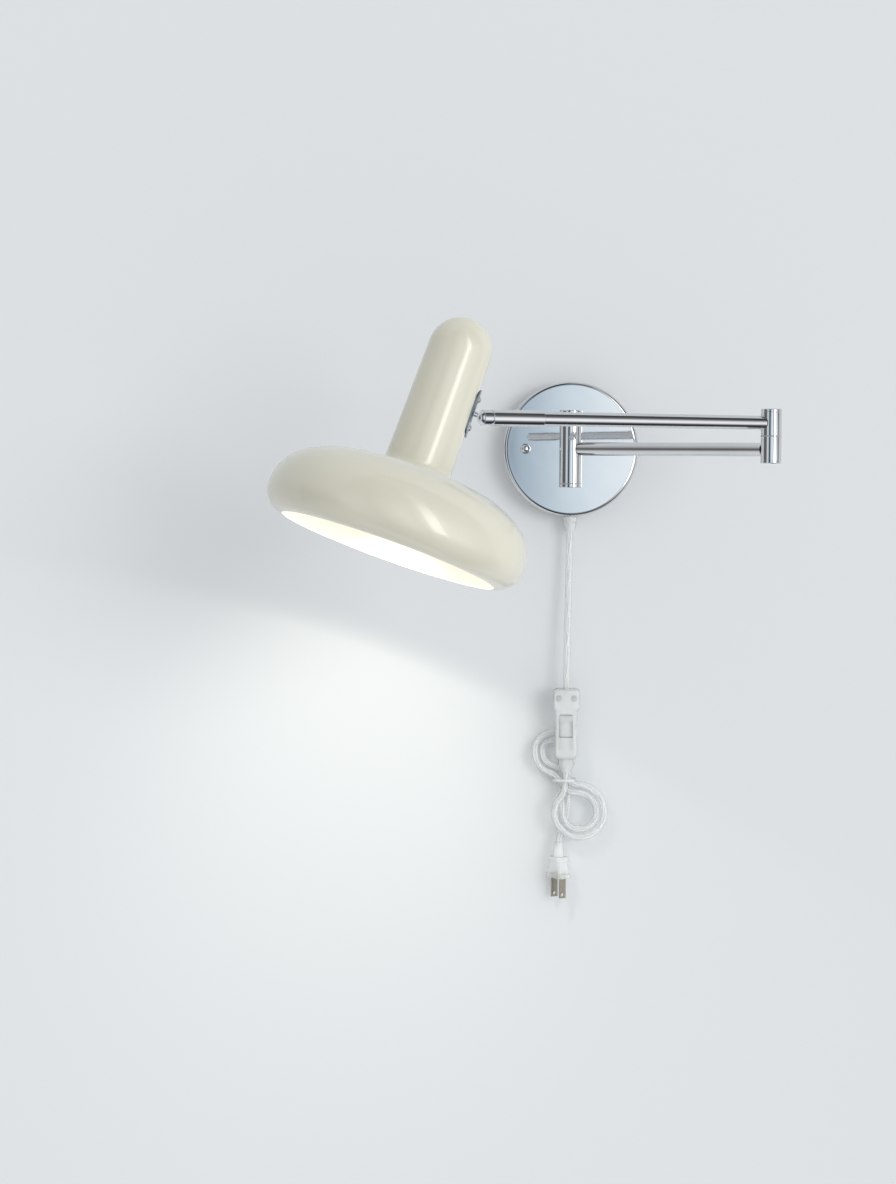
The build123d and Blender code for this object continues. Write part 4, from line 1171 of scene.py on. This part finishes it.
@dataclass
class LitLamp:
    """The lampholder, the lamp's cap and its opal globe, in the shade's frame."""

    place: Matrix
    globe: float = 30.0
    low: float = 24.3
    cap_low: float = 103.3
    cap_high: float = 128.3
    throat: float = 13.5
    pitch: float = 3.63

    def build_globe(self) -> None:
        """Blows the pear shaped globe down from its neck."""
        middle = self.low + self.globe
        flank = math.radians(38.0)
        touch = (self.globe * math.cos(flank), middle + self.globe * math.sin(flank))
        ball = [(self.globe * math.cos(a), middle + self.globe * math.sin(a))
                for a in (math.radians(-90 + 128 * k / 28) for k in range(29))]
        ball[0] = (0.0, self.low)
        throat = arc(touch, (self.throat, self.cap_low - 4.0),
                     (-math.sin(flank), math.cos(flank)), 8)
        outline = ball + throat + [(self.throat, self.cap_low - 0.6), (12.3, self.cap_low - 0.1),
                                   (12.3, self.cap_low + 3.0), (0.0, self.cap_low + 3.0)]
        globe = turned("bulb_globe_opal", outline, self.place, OPAL, 96)
        settle(globe, Body.HEAD, "opal_glass", "bulb_globe")

    def build_cap(self) -> None:
        """Rolls the cap with its round thread and soldered contact."""
        thread = []
        for k in range(41):
            z = self.cap_low + 2.0 + 16.0 * k / 40
            turn = 2 * math.pi * (z - self.cap_low) / self.pitch
            thread.append((12.45 + 0.4 * math.cos(turn), z))
        outline = [(0.0, self.cap_low + 1.0), (11.8, self.cap_low + 1.0), (12.4, self.cap_low),
                   (12.85, self.cap_low + 0.4)] + thread + [
            (12.2, self.cap_high - 5.0), (7.5, self.cap_high - 1.6), (3.5, self.cap_high - 1.5),
            (3.0, self.cap_high - 0.1), (0.0, self.cap_high)]
        cap = turned("bulb_cap_threaded", outline, self.place, ALUMINIUM, 64)
        settle(cap, Body.HEAD, "bare_aluminium", "bulb_cap")

    def build_holder(self) -> None:
        """Moulds the holder with two shallow rings round it."""
        outline = eased([(3.0, 130.0, 0.0), (14.0, 130.0, 0.0), (14.0, 100.0, 0.4),
                         (16.5, 100.0, 0.8), (16.5, 110.0, 0.2), (16.0, 110.6, 0.1),
                         (16.0, 112.0, 0.1), (16.5, 112.6, 0.2), (16.5, 146.0, 3.0),
                         (3.0, 146.0, 0.0)])
        holder = turned("lampholder_moulded", outline, self.place, HOLDER, 72)
        settle(holder, Body.HEAD, "lampholder_plastic", "lampholder_body")
        redress(ALUMINIUM, "lampholder_shell")
        redress(BRASS, "lampholder_contact")

    def build(self) -> None:
        """Builds globe, cap and holder."""
        self.build_globe()
        self.build_cap()
        self.build_holder()


@dataclass
class CordRoute:
    """A cord's centreline as NURBS control points, with its sheath and twisted cores."""

    name: str
    points: Sequence[Triple]
    diameter: float = 0.006
    core: float = 0.0008
    spread: float = 0.00125
    lay: float = 0.055
    strands: int = 2
    step: float = 0.0008
    facets: int = 8

    def curve(self, name: str, bevel: float) -> Piece:
        """The route as one smooth NURBS curve.

        Args:
            name: The object's name.
            bevel: The sheath's radius in metres, or 0 for the bare line.

        Returns:
            The curve object.
        """
        data = bpy.data.curves.new(name, "CURVE")
        data.dimensions = "3D"
        data.resolution_u = 12
        spline = data.splines.new("NURBS")
        spline.points.add(len(self.points) - 1)
        for point, place in zip(spline.points, self.points):
            point.co = (*place, 1.0)
        spline.order_u = 3
        spline.use_endpoint_u = True
        data.bevel_depth = bevel
        data.bevel_resolution = 6
        data.use_fill_caps = bevel > 0
        return put(name, data)

    def line(self) -> list[Vector]:
        """The points Blender draws the route's own spline through."""
        bare = self.curve(self.name + "_line", 0.0)
        graph = bpy.context.evaluated_depsgraph_get()
        mesh = bpy.data.meshes.new_from_object(bare.evaluated_get(graph))
        points = [v.co.copy() for v in mesh.vertices]
        bpy.data.objects.remove(bare)
        bpy.data.meshes.remove(mesh)
        return points

    def cores(self) -> Piece:
        """Lays the insulated conductors round each other along the route.

        Returns:
            The strands as plain mesh.
        """
        weave = Weave("twisted_cores", {
            "Radius": (Socket.LENGTH, self.core), "Spread": (Socket.LENGTH, self.spread),
            "Lay": (Socket.LENGTH, self.lay), "Step": (Socket.LENGTH, self.step),
            "Finish": (Socket.FINISH, CORE.material())})
        path = weave.node("GeometryNodeMeshToCurve", {"Mesh": weave.take()})
        even = weave.node("GeometryNodeResampleCurve",
                          {"Curve": path, "Length": weave.take("Step")},
                          mode="LENGTH")
        run = weave.node("GeometryNodeSplineParameter")
        ahead = weave.node("GeometryNodeInputTangent")
        side = weave.node("GeometryNodeInputNormal")
        turns = weave.node("ShaderNodeMath", {0: run.outputs["Length"], 1: weave.take("Lay")},
                           operation="DIVIDE")
        strands = []
        for k in range(self.strands):
            angle = weave.node("ShaderNodeMath", {
                0: turns, 1: 2 * math.pi, 2: 2 * math.pi * k / self.strands},
                operation="MULTIPLY_ADD")
            out = weave.node("ShaderNodeVectorRotate", {
                "Vector": side, "Axis": ahead,
                "Angle": angle}, rotation_type="AXIS_ANGLE")
            shift = weave.node("ShaderNodeVectorMath", {
                0: out, "Scale": weave.take("Spread")}, operation="SCALE")
            strand = weave.node("GeometryNodeSetPosition", {"Geometry": even, "Offset": shift})
            ring = weave.node("GeometryNodeCurvePrimitiveCircle",
                              {"Resolution": self.facets, "Radius": weave.take("Radius")})
            strands.append(weave.node("GeometryNodeCurveToMesh", {
                "Curve": strand, "Profile Curve": ring,
                "Fill Caps": True}))
        both = weave.node("GeometryNodeJoinGeometry")
        for strand in strands:
            weave.tree.links.new(strand.outputs["Mesh"], both.inputs["Geometry"])
        smooth = weave.node("GeometryNodeSetShadeSmooth", {"Geometry": both})
        return weave.finish_on(line_object(self.name + "_cores", self.line()),
                               smooth.outputs["Geometry"])

    def build(self, nodes: Sequence[str]) -> tuple[Piece, Piece]:
        """Builds the clear sheath and the cores in it.

        Args:
            nodes: The CAD cords that the sheath replaces.

        Returns:
            The sheath and the cores.
        """
        sheath = self.curve(self.name, self.diameter / 2)
        sheath.data.materials.append(CORD_SHEATH.material())
        settle(sheath, Body.WALL, "clear_cord", *nodes)
        cores = self.cores()
        settle(cores, Body.WALL, "clear_cord")
        return sheath, cores


@dataclass
class InlineSwitch:
    """The clear in-line switch: two shells, screws, contacts and the rocker."""

    def build(self) -> list[Piece]:
        """Casts the shells and the rocker and dresses the rest.

        Returns:
            The pieces that ride on the cord.
        """
        made = [recast(node, name, CLEAR_MOULDED, body, "clear_plastic") for node, name, body in (
            ("switch_front_shell", "switch_shell_front", Body.WALL),
            ("switch_back_shell", "switch_shell_back", Body.WALL),
            ("switch_rocker", "switch_rocker_key", Body.KEY))]
        metal = ("switch_screws", "switch_contacts")
        redress(ZINC, *metal)
        return made + [frame["nodes"][node] for node in metal]


@dataclass
class CordEnds:
    """The gland under the plate, the tie round the hank and the two-pin plug."""

    def gland(self) -> None:
        """Casts the clear gland; its nut stays inside the plate."""
        recast("cord_gland", "cord_gland_moulded", CLEAR_MOULDED, Body.WALL, "clear_plastic")
        redress(NYLON, "gland_nut")

    def plug(self) -> list[Piece]:
        """Casts the tie and the plug with its blades.

        Returns:
            The pieces that ride on the cord.
        """
        return [recast(node, name, finish, Body.WALL, slot) for node, name, finish, slot in (
            ("hank_tie", "hank_tie_band", CLEAR_MOULDED, "clear_plastic"),
            ("plug_body", "plug_body_moulded", CLEAR_MOULDED, "clear_plastic"),
            ("plug_blades", "plug_blades_nickel", BLADE, "plated_brass"))]


@dataclass
class CordSet:
    """Both stretches of cord, with what rides on them."""

    upper: Sequence[Triple] = (
        (0.0, -0.012, -0.0507), (0.0, -0.012, -0.0855), (-0.0015, -0.0186, -0.19),
        (-0.0015, -0.0186, -0.22))
    lower: Sequence[Triple] = (
        (-0.0015, -0.0186, -0.2854), (-0.0015, -0.0186, -0.2914), (-0.0015, -0.0186, -0.2943),
        (-0.0017, -0.0186, -0.3001), (-0.0032, -0.0186, -0.3092), (-0.0111, -0.0178, -0.3188),
        (-0.0111, -0.0178, -0.3343), (0.0019, -0.0166, -0.3477), (0.0200, -0.0166, -0.3477),
        (0.0327, -0.0132, -0.3358), (0.0339, -0.0132, -0.3212), (0.0295, -0.0119, -0.3107),
        (0.0178, -0.0119, -0.3014), (0.0027, -0.0119, -0.3008), (-0.0041, -0.0119, -0.2868),
        (-0.0196, -0.0119, -0.2816), (-0.0235, -0.0119, -0.2708), (-0.0205, -0.0052, -0.2642),
        (-0.0120, -0.0052, -0.2611), (-0.0046, -0.0052, -0.2646), (-0.0010, -0.0052, -0.2747),
        (-0.0059, -0.0052, -0.2886), (-0.0070, -0.0052, -0.3044), (-0.0042, -0.0130, -0.3173),
        (-0.0042, -0.0130, -0.3316), (0.0046, -0.0166, -0.3408), (0.0174, -0.0166, -0.3408),
        (0.0260, -0.0132, -0.3326), (0.0269, -0.0132, -0.3224), (0.0238, -0.0119, -0.3150),
        (0.0153, -0.0119, -0.3082), (-0.0017, -0.0119, -0.3076), (-0.0091, -0.0119, -0.2924),
        (-0.0249, -0.0119, -0.2871), (-0.0308, -0.0119, -0.2708), (-0.0253, -0.0052, -0.2586),
        (-0.0117, -0.0052, -0.2536), (0.0009, -0.0052, -0.2596), (0.0063, -0.0052, -0.2746),
        (0.0009, -0.0052, -0.2900), (0.0003, -0.0052, -0.2989), (0.0008, -0.0052, -0.3023),
        (0.0008, -0.0052, -0.3100), (0.0008, -0.0052, -0.3220), (-0.0016, -0.0069, -0.3365),
        (-0.0070, -0.0128, -0.3490), (-0.0070, -0.0128, -0.3560))

    def build(self) -> None:
        ends = CordEnds()
        ends.gland()
        switch = InlineSwitch().build()
        plug = ends.plug()
        upper, upper_cores = CordRoute("cord_to_switch", self.upper).build(["cord_upper"])
        lower, lower_cores = CordRoute("cord_to_plug", self.lower).build(
            ["cord_hank", "cord_tail"])


# Tones of the mirrored studio by the angle from straight behind the camera, to the right:
# the part ahead of the object, and how its right side falls off
LEVEL: Stops = (
    (-60, "#C0C6CA"), (-46, "#D0D5D8"), (-35, "#BCC3C8"), (-27, "#868E94"),
    (-22, "#2E3236"), (-15, "#2A2E32"), (-12.5, "#85909A"), (-9.5, "#A3B2BE"),
    (0, "#CBD7DF"), (11.5, "#E8EEF2"), (16, "#D4DADE"), (20, "#70777C"),
    (23, "#8A9196"), (27, "#FCFDFD"), (48, "#FFFFFF"), (60, "#E2E6E8"))
FALL: Stops = (
    (58, "#FFFFFF"), (66, "#F0F0F1"), (77, "#929293"), (92, "#8F8F90"),
    (115, "#A4A4A5"), (140, "#DADADB"))
# Its tones by the angle above the level: ahead, on the right and on the left
FRONT: Stops = (
    (-90, "#5C5C5D"), (-62, "#606061"), (-42, "#79797A"), (-30, "#CDCDCE"),
    (-16, "#FFFFFF"), (16, "#FFFFFF"), (28, "#D9D9DA"), (42, "#818182"),
    (66, "#707071"), (82, "#B9B9BA"), (90, "#D3D3D4"))
RIGHT: Stops = (
    (-90, "#5F5F60"), (-59, "#545455"), (-48, "#616162"), (-36, "#929293"),
    (-24, "#E7E7E8"), (-8, "#F6F6F7"), (6, "#D4D4D5"), (18, "#8B8B8C"),
    (30, "#59595A"), (46, "#5F5F60"), (62, "#9D9D9E"), (90, "#BCBCBD"))
LEFT: Stops = (
    (-90, "#CBCBCC"), (-55, "#CDCDCE"), (-34, "#C2C2C3"), (-20, "#9C9C9D"),
    (-8, "#5B5B5C"), (8, "#5F5F60"), (20, "#8D8D8E"), (34, "#ABABAC"),
    (60, "#BFBFC0"), (90, "#C7C7C8"))


@dataclass
class Studio:
    """The pale wall and floor, the soft light and the camera of the photograph."""

    wall_y: float = 0.0006
    opening: float = 0.0586
    extent: float = 4.0
    floor_z: float = -0.7
    ambient: float = 0.8
    lean: float = 0.38
    side_edge: tuple[float, float] = (44.0, 58.0)
    back_edge: tuple[float, float] = (0.2, 0.55)
    box_across: tuple[float, float] = (29.0, 45.0)
    box_upward: tuple[float, float] = (-22.0, 62.0)
    box_gain: float = 4.5
    room_gain: float = 1.38
    key: float = 0.77
    key_spread: float = 26.0
    key_from: Triple = (0.7, -1.0, 0.16)
    glow: float = 1.45
    glow_tone: Triple = (1.0, 0.95, 0.7)
    glow_cone: float = 68.0
    glow_size: float = 0.008
    glow_aim: Triple = (-0.192, 0.0, -0.29)
    spill: float = 0.36
    spill_tone: Triple = (1.0, 0.985, 0.955)
    spill_size: float = 0.03
    lamp_rise: float = 22.0
    lens: float = 84.41
    sensor: float = 36.0
    eye: Triple = (-0.009829, -2.5, -0.017395)
    eye_right: Triple = (0.99916237, 0.04005511, 0.00837583)
    eye_up: Triple = (-0.0101536, 0.04438775, 0.99896278)
    unmirrored: tuple[str, ...] = ("shade_", "bulb_", "lampholder_", "saddle_", "stud_nut",
                                   "ball_stud")

    def backdrop(self, name: str, tone: Tone, corners: Sequence[Triple],
                 faces: Sequence[Sequence[int]] = ((0, 1, 2, 3),), mirrored: bool = True) -> None:
        """A plane that shows the object's shadows and blocks no light.

        Args:
            name: Its name.
            tone: Its colour.
            corners: Its corners, anticlockwise from where it is seen.
            faces: The corners of each of its faces.
            mirrored: Whether the chrome shows it.
        """
        mesh = bpy.data.meshes.new(name)
        mesh.from_pydata(corners, [], faces)
        plane = put(name, mesh)
        made = bpy.data.materials.new(name + "_matt")
        tree = empty_tree(made)
        ray = add_node(tree, "ShaderNodeLightPath")
        side = add_node(tree, "ShaderNodeNewGeometry")
        seen = add_node(tree, "ShaderNodeMath", {0: ray.outputs["Is Camera Ray"],
                                                 1: ray.outputs["Is Glossy Ray"]},
                        operation="MAXIMUM")
        seen = add_node(tree, "ShaderNodeMath", {0: seen,
                                                 1: ray.outputs["Is Transmission Ray"]},
                        operation="MAXIMUM")
        front = add_node(tree, "ShaderNodeMath", {0: seen,
                                                  1: side.outputs["Backfacing"]},
                         operation="SUBTRACT", use_clamp=True)
        paint = add_node(tree, "ShaderNodeBsdfDiffuse", {"Color": linear(tone)})
        clear = add_node(tree, "ShaderNodeBsdfTransparent")
        mixed = add_node(tree, "ShaderNodeMixShader", {0: front, 1: clear, 2: paint})
        add_node(tree, "ShaderNodeOutputMaterial", {"Surface": mixed})
        mesh.materials.append(made)
        plane.visible_glossy = mirrored

    def world(self) -> None:
        """Even light for the object, and a studio of soft boxes for what mirrors it."""
        world = bpy.data.worlds.new("studio")
        bpy.context.scene.world = world
        tree = empty_tree(world)
        way = add_node(tree, "ShaderNodeTexCoord").outputs["Generated"]
        axes = add_node(tree, "ShaderNodeSeparateXYZ", {"Vector": way})
        ahead = add_node(tree, "ShaderNodeMath", {0: axes.outputs["Y"], 1: -1.0},
                         operation="MULTIPLY")
        turn = add_node(tree, "ShaderNodeMath", {0: axes.outputs["X"], 1: ahead},
                        operation="ARCTAN2").outputs["Value"]
        rise = add_node(tree, "ShaderNodeMath", {0: axes.outputs["Z"]},
                        operation="ARCSINE").outputs["Value"]
        level, fall = (self.ramp(tree, turn, stops) for stops in (LEVEL, FALL))
        front, right, left = (self.ramp(tree, rise, stops) for stops in (FRONT, RIGHT, LEFT))
        tones, right = (
            add_node(tree, "ShaderNodeMix", {0: 1.0, 6: tone, 7: weight}, data_type="RGBA",
                     blend_type="MULTIPLY").outputs[2]
            for tone, weight in ((level, front), (right, fall)))
        near, far = (math.radians(angle) for angle in self.side_edge)
        back = (axes.outputs["Y"], *self.back_edge, linear(Tone.STUDIO_BACK))
        for along, low, high, tone in ((turn, near, far, right), (turn, -near, -far, left), back):
            share = add_node(tree, "ShaderNodeMapRange", {
                "Value": along, "From Min": low, "From Max": high},
                interpolation_type="SMOOTHSTEP")
            tones = add_node(tree, "ShaderNodeMix", {0: share, 6: tones, 7: tone},
                             data_type="RGBA").outputs[2]
        box = self.soft_box(tree, turn, rise, self.box_across, self.box_upward)
        lit = add_node(tree, "ShaderNodeMath", {0: box, 1: self.box_gain, 2: self.room_gain},
                       operation="MULTIPLY_ADD")
        mirrored = add_node(tree, "ShaderNodeBackground", {"Color": tones, "Strength": lit})
        lean = add_node(tree, "ShaderNodeMath", {
            0: axes.outputs["X"], 1: self.ambient * self.lean, 2: self.ambient},
            operation="MULTIPLY_ADD")
        even = add_node(tree, "ShaderNodeBackground", {
            "Color": (1.0, 1.0, 1.0, 1.0), "Strength": lean})
        plainly = add_node(tree, "ShaderNodeBackground", {
            "Color": linear(Tone.WALL), "Strength": 1.0})
        ray = add_node(tree, "ShaderNodeLightPath")
        first = add_node(tree, "ShaderNodeMixShader", {
            0: ray.outputs["Is Glossy Ray"], 1: even,
            2: mirrored})
        straight = add_node(tree, "ShaderNodeMath", {
            0: ray.outputs["Is Camera Ray"], 1: ray.outputs["Is Transmission Ray"]},
            operation="MAXIMUM")
        second = add_node(tree, "ShaderNodeMixShader", {0: straight, 1: first, 2: plainly})
        add_node(tree, "ShaderNodeOutputWorld", {"Surface": second})

    @staticmethod
    def ramp(tree: Tree, angle: Port, stops: Stops) -> Port:
        """Tones of the mirrored studio by an angle.

        Args:
            tree: The world's node tree.
            angle: The angle in radians.
            stops: Each stop's angle in degrees, in order, and its sRGB hex value.

        Returns:
            The colour.
        """
        low, high = stops[0][0], stops[-1][0]
        share = add_node(tree, "ShaderNodeMapRange", {
            "Value": angle, "From Min": math.radians(low), "From Max": math.radians(high)})
        node = add_node(tree, "ShaderNodeValToRGB", {"Fac": share})
        elements = node.color_ramp.elements
        elements[0].color, elements[1].color = linear(stops[0][1]), linear(stops[-1][1])
        for degrees, tone in stops[1:-1]:
            elements.new((degrees - low) / (high - low)).color = linear(tone)
        return node.outputs["Color"]

    @staticmethod
    def soft_box(tree: Tree, turn: Port, rise: Port,
                 across: tuple[float, float], upward: tuple[float, float]) -> Port:
        """A soft edged box of light in the mirrored studio.

        Args:
            tree: The world's node tree.
            turn: The angle from straight behind the camera, to the right.
            rise: The angle above the level.
            across: Its edges to the left and right, in degrees.
            upward: Its lower and upper edges, in degrees.

        Returns:
            One inside the box and nothing outside.
        """
        shares = []
        for angle, (low, high), edge in ((turn, across, 0.6), (rise, upward, 0.85)):
            middle, half = math.radians((low + high) / 2), math.radians((high - low) / 2)
            off = add_node(tree, "ShaderNodeMath", {0: angle, 1: middle}, operation="SUBTRACT")
            far = add_node(tree, "ShaderNodeMath", {0: off}, operation="ABSOLUTE")
            shares.append(add_node(tree, "ShaderNodeMapRange", {
                "Value": far, "From Min": half, "From Max": half * edge},
                interpolation_type="SMOOTHSTEP"))
        both = add_node(tree, "ShaderNodeMath", {0: shares[0].outputs["Result"],
                                                 1: shares[1].outputs["Result"]},
                        operation="MULTIPLY")
        return both.outputs["Value"]

    @staticmethod
    def hang(light: bpy.types.Light, place: Vector, aim: Vector) -> Piece:
        """Hangs a light that neither the camera nor the chrome sees.

        Args:
            light: The light.
            place: Where it hangs, in metres.
            aim: The way from where it shines back to it.

        Returns:
            The light's object.
        """
        lamp = put(light.name, light)
        lamp.location = place
        lamp.rotation_euler = aim.to_track_quat("Z", "Y").to_euler()
        lamp.visible_glossy = False
        lamp.visible_camera = False
        return lamp

    def lamps(self) -> None:
        """One large soft key from the right, and the glow that leaves the shade."""
        key = bpy.data.lights.new("key_soft", "SUN")
        key.energy = self.key
        key.angle = math.radians(self.key_spread)
        self.hang(key, Vector(), Vector(self.key_from))
        glow = bpy.data.lights.new("shade_glow", "SPOT")
        glow.energy = self.glow
        glow.color = self.glow_tone
        glow.spot_size = math.radians(self.glow_cone)
        glow.spot_blend = 1.0
        glow.shadow_soft_size = self.glow_size
        spill = bpy.data.lights.new("shade_spill", "AREA")
        spill.shape = "DISK"
        spill.size = self.spill_size
        spill.energy = self.spill
        spill.color = self.spill_tone
        shade = MushroomShade()
        place = (shade.centre + shade.up * self.lamp_rise) * MM
        for light, aim in ((glow, place - Vector(self.glow_aim)), (spill, shade.up)):
            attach(self.hang(light, place, aim), Body.HEAD.value)

    def camera(self) -> None:
        """The camera of the photograph, found from its measured points."""
        data = bpy.data.cameras.new("photo")
        data.sensor_fit = "VERTICAL"
        data.sensor_height = self.sensor
        data.lens = self.lens
        data.clip_start = 0.05
        seen = put("photo", data)
        right, up = Vector(self.eye_right), Vector(self.eye_up)
        seen.matrix_world = Matrix.Translation(self.eye) @ Matrix(
            (right, up, right.cross(up))).transposed().to_4x4()
        bpy.context.scene.camera = seen

    def clear_mirrors(self) -> None:
        """Keeps the head out of the chrome, whose mirrors are clean in the photograph."""
        for piece in bpy.data.objects:
            if piece.type == "MESH" and piece.name.startswith(self.unmirrored):
                piece.visible_glossy = False

    def holed_wall(self) -> tuple[list[Triple], list[tuple[int, ...]]]:
        """The wall, open behind the plate as it is over an outlet box.

        Returns:
            Its corners, and the corners of each face.
        """
        size = self.extent
        corners = [math.atan2(z, x) for x in (-size, size) for z in (self.floor_z, size)]
        turns = sorted([2 * math.pi * k / 48 for k in range(48)]
                       + [turn % (2 * math.pi) for turn in corners])
        count = len(turns)
        near, far = [], []
        for turn in turns:
            x, z = math.cos(turn), math.sin(turn)
            reach = min(size / max(abs(x), TINY),
                        (size if z > 0 else -self.floor_z) / max(abs(z), TINY))
            near.append((x * self.opening, self.wall_y, z * self.opening))
            far.append((x * reach, self.wall_y, z * reach))
        faces = [(k, count + k, count + (k + 1) % count, (k + 1) % count) for k in range(count)]
        return near + far, faces

    def build(self) -> None:
        """Sets the wall, the floor, the light and the camera."""
        x, y, z = self.extent, self.wall_y, self.floor_z
        self.backdrop("studio_wall", Tone.WALL, *self.holed_wall())
        self.backdrop("studio_floor", Tone.FLOOR,
                      [(-x, -1.5, z), (x, -1.5, z), (x, y, z), (-x, y, z)], mirrored=False)
        self.world()
        self.lamps()
        self.camera()
        self.clear_mirrors()
        bpy.context.scene.view_settings.view_transform = "Standard"


def main() -> None:
    """Builds the lamp on its frame, dresses it and sets the studio."""
    logging.basicConfig(level=logging.INFO, format="%(name)s: %(message)s")
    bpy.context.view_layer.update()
    WallPlate().build()
    PivotPost().build()
    SwingArms().build()
    SwivelJoint().build()
    Saddle().build()
    shade = MushroomShade()
    shade.build()
    LitLamp(shade.place()).build()
    CordSet().build()
    Studio().build()


if __name__ == "__main__":
    main()
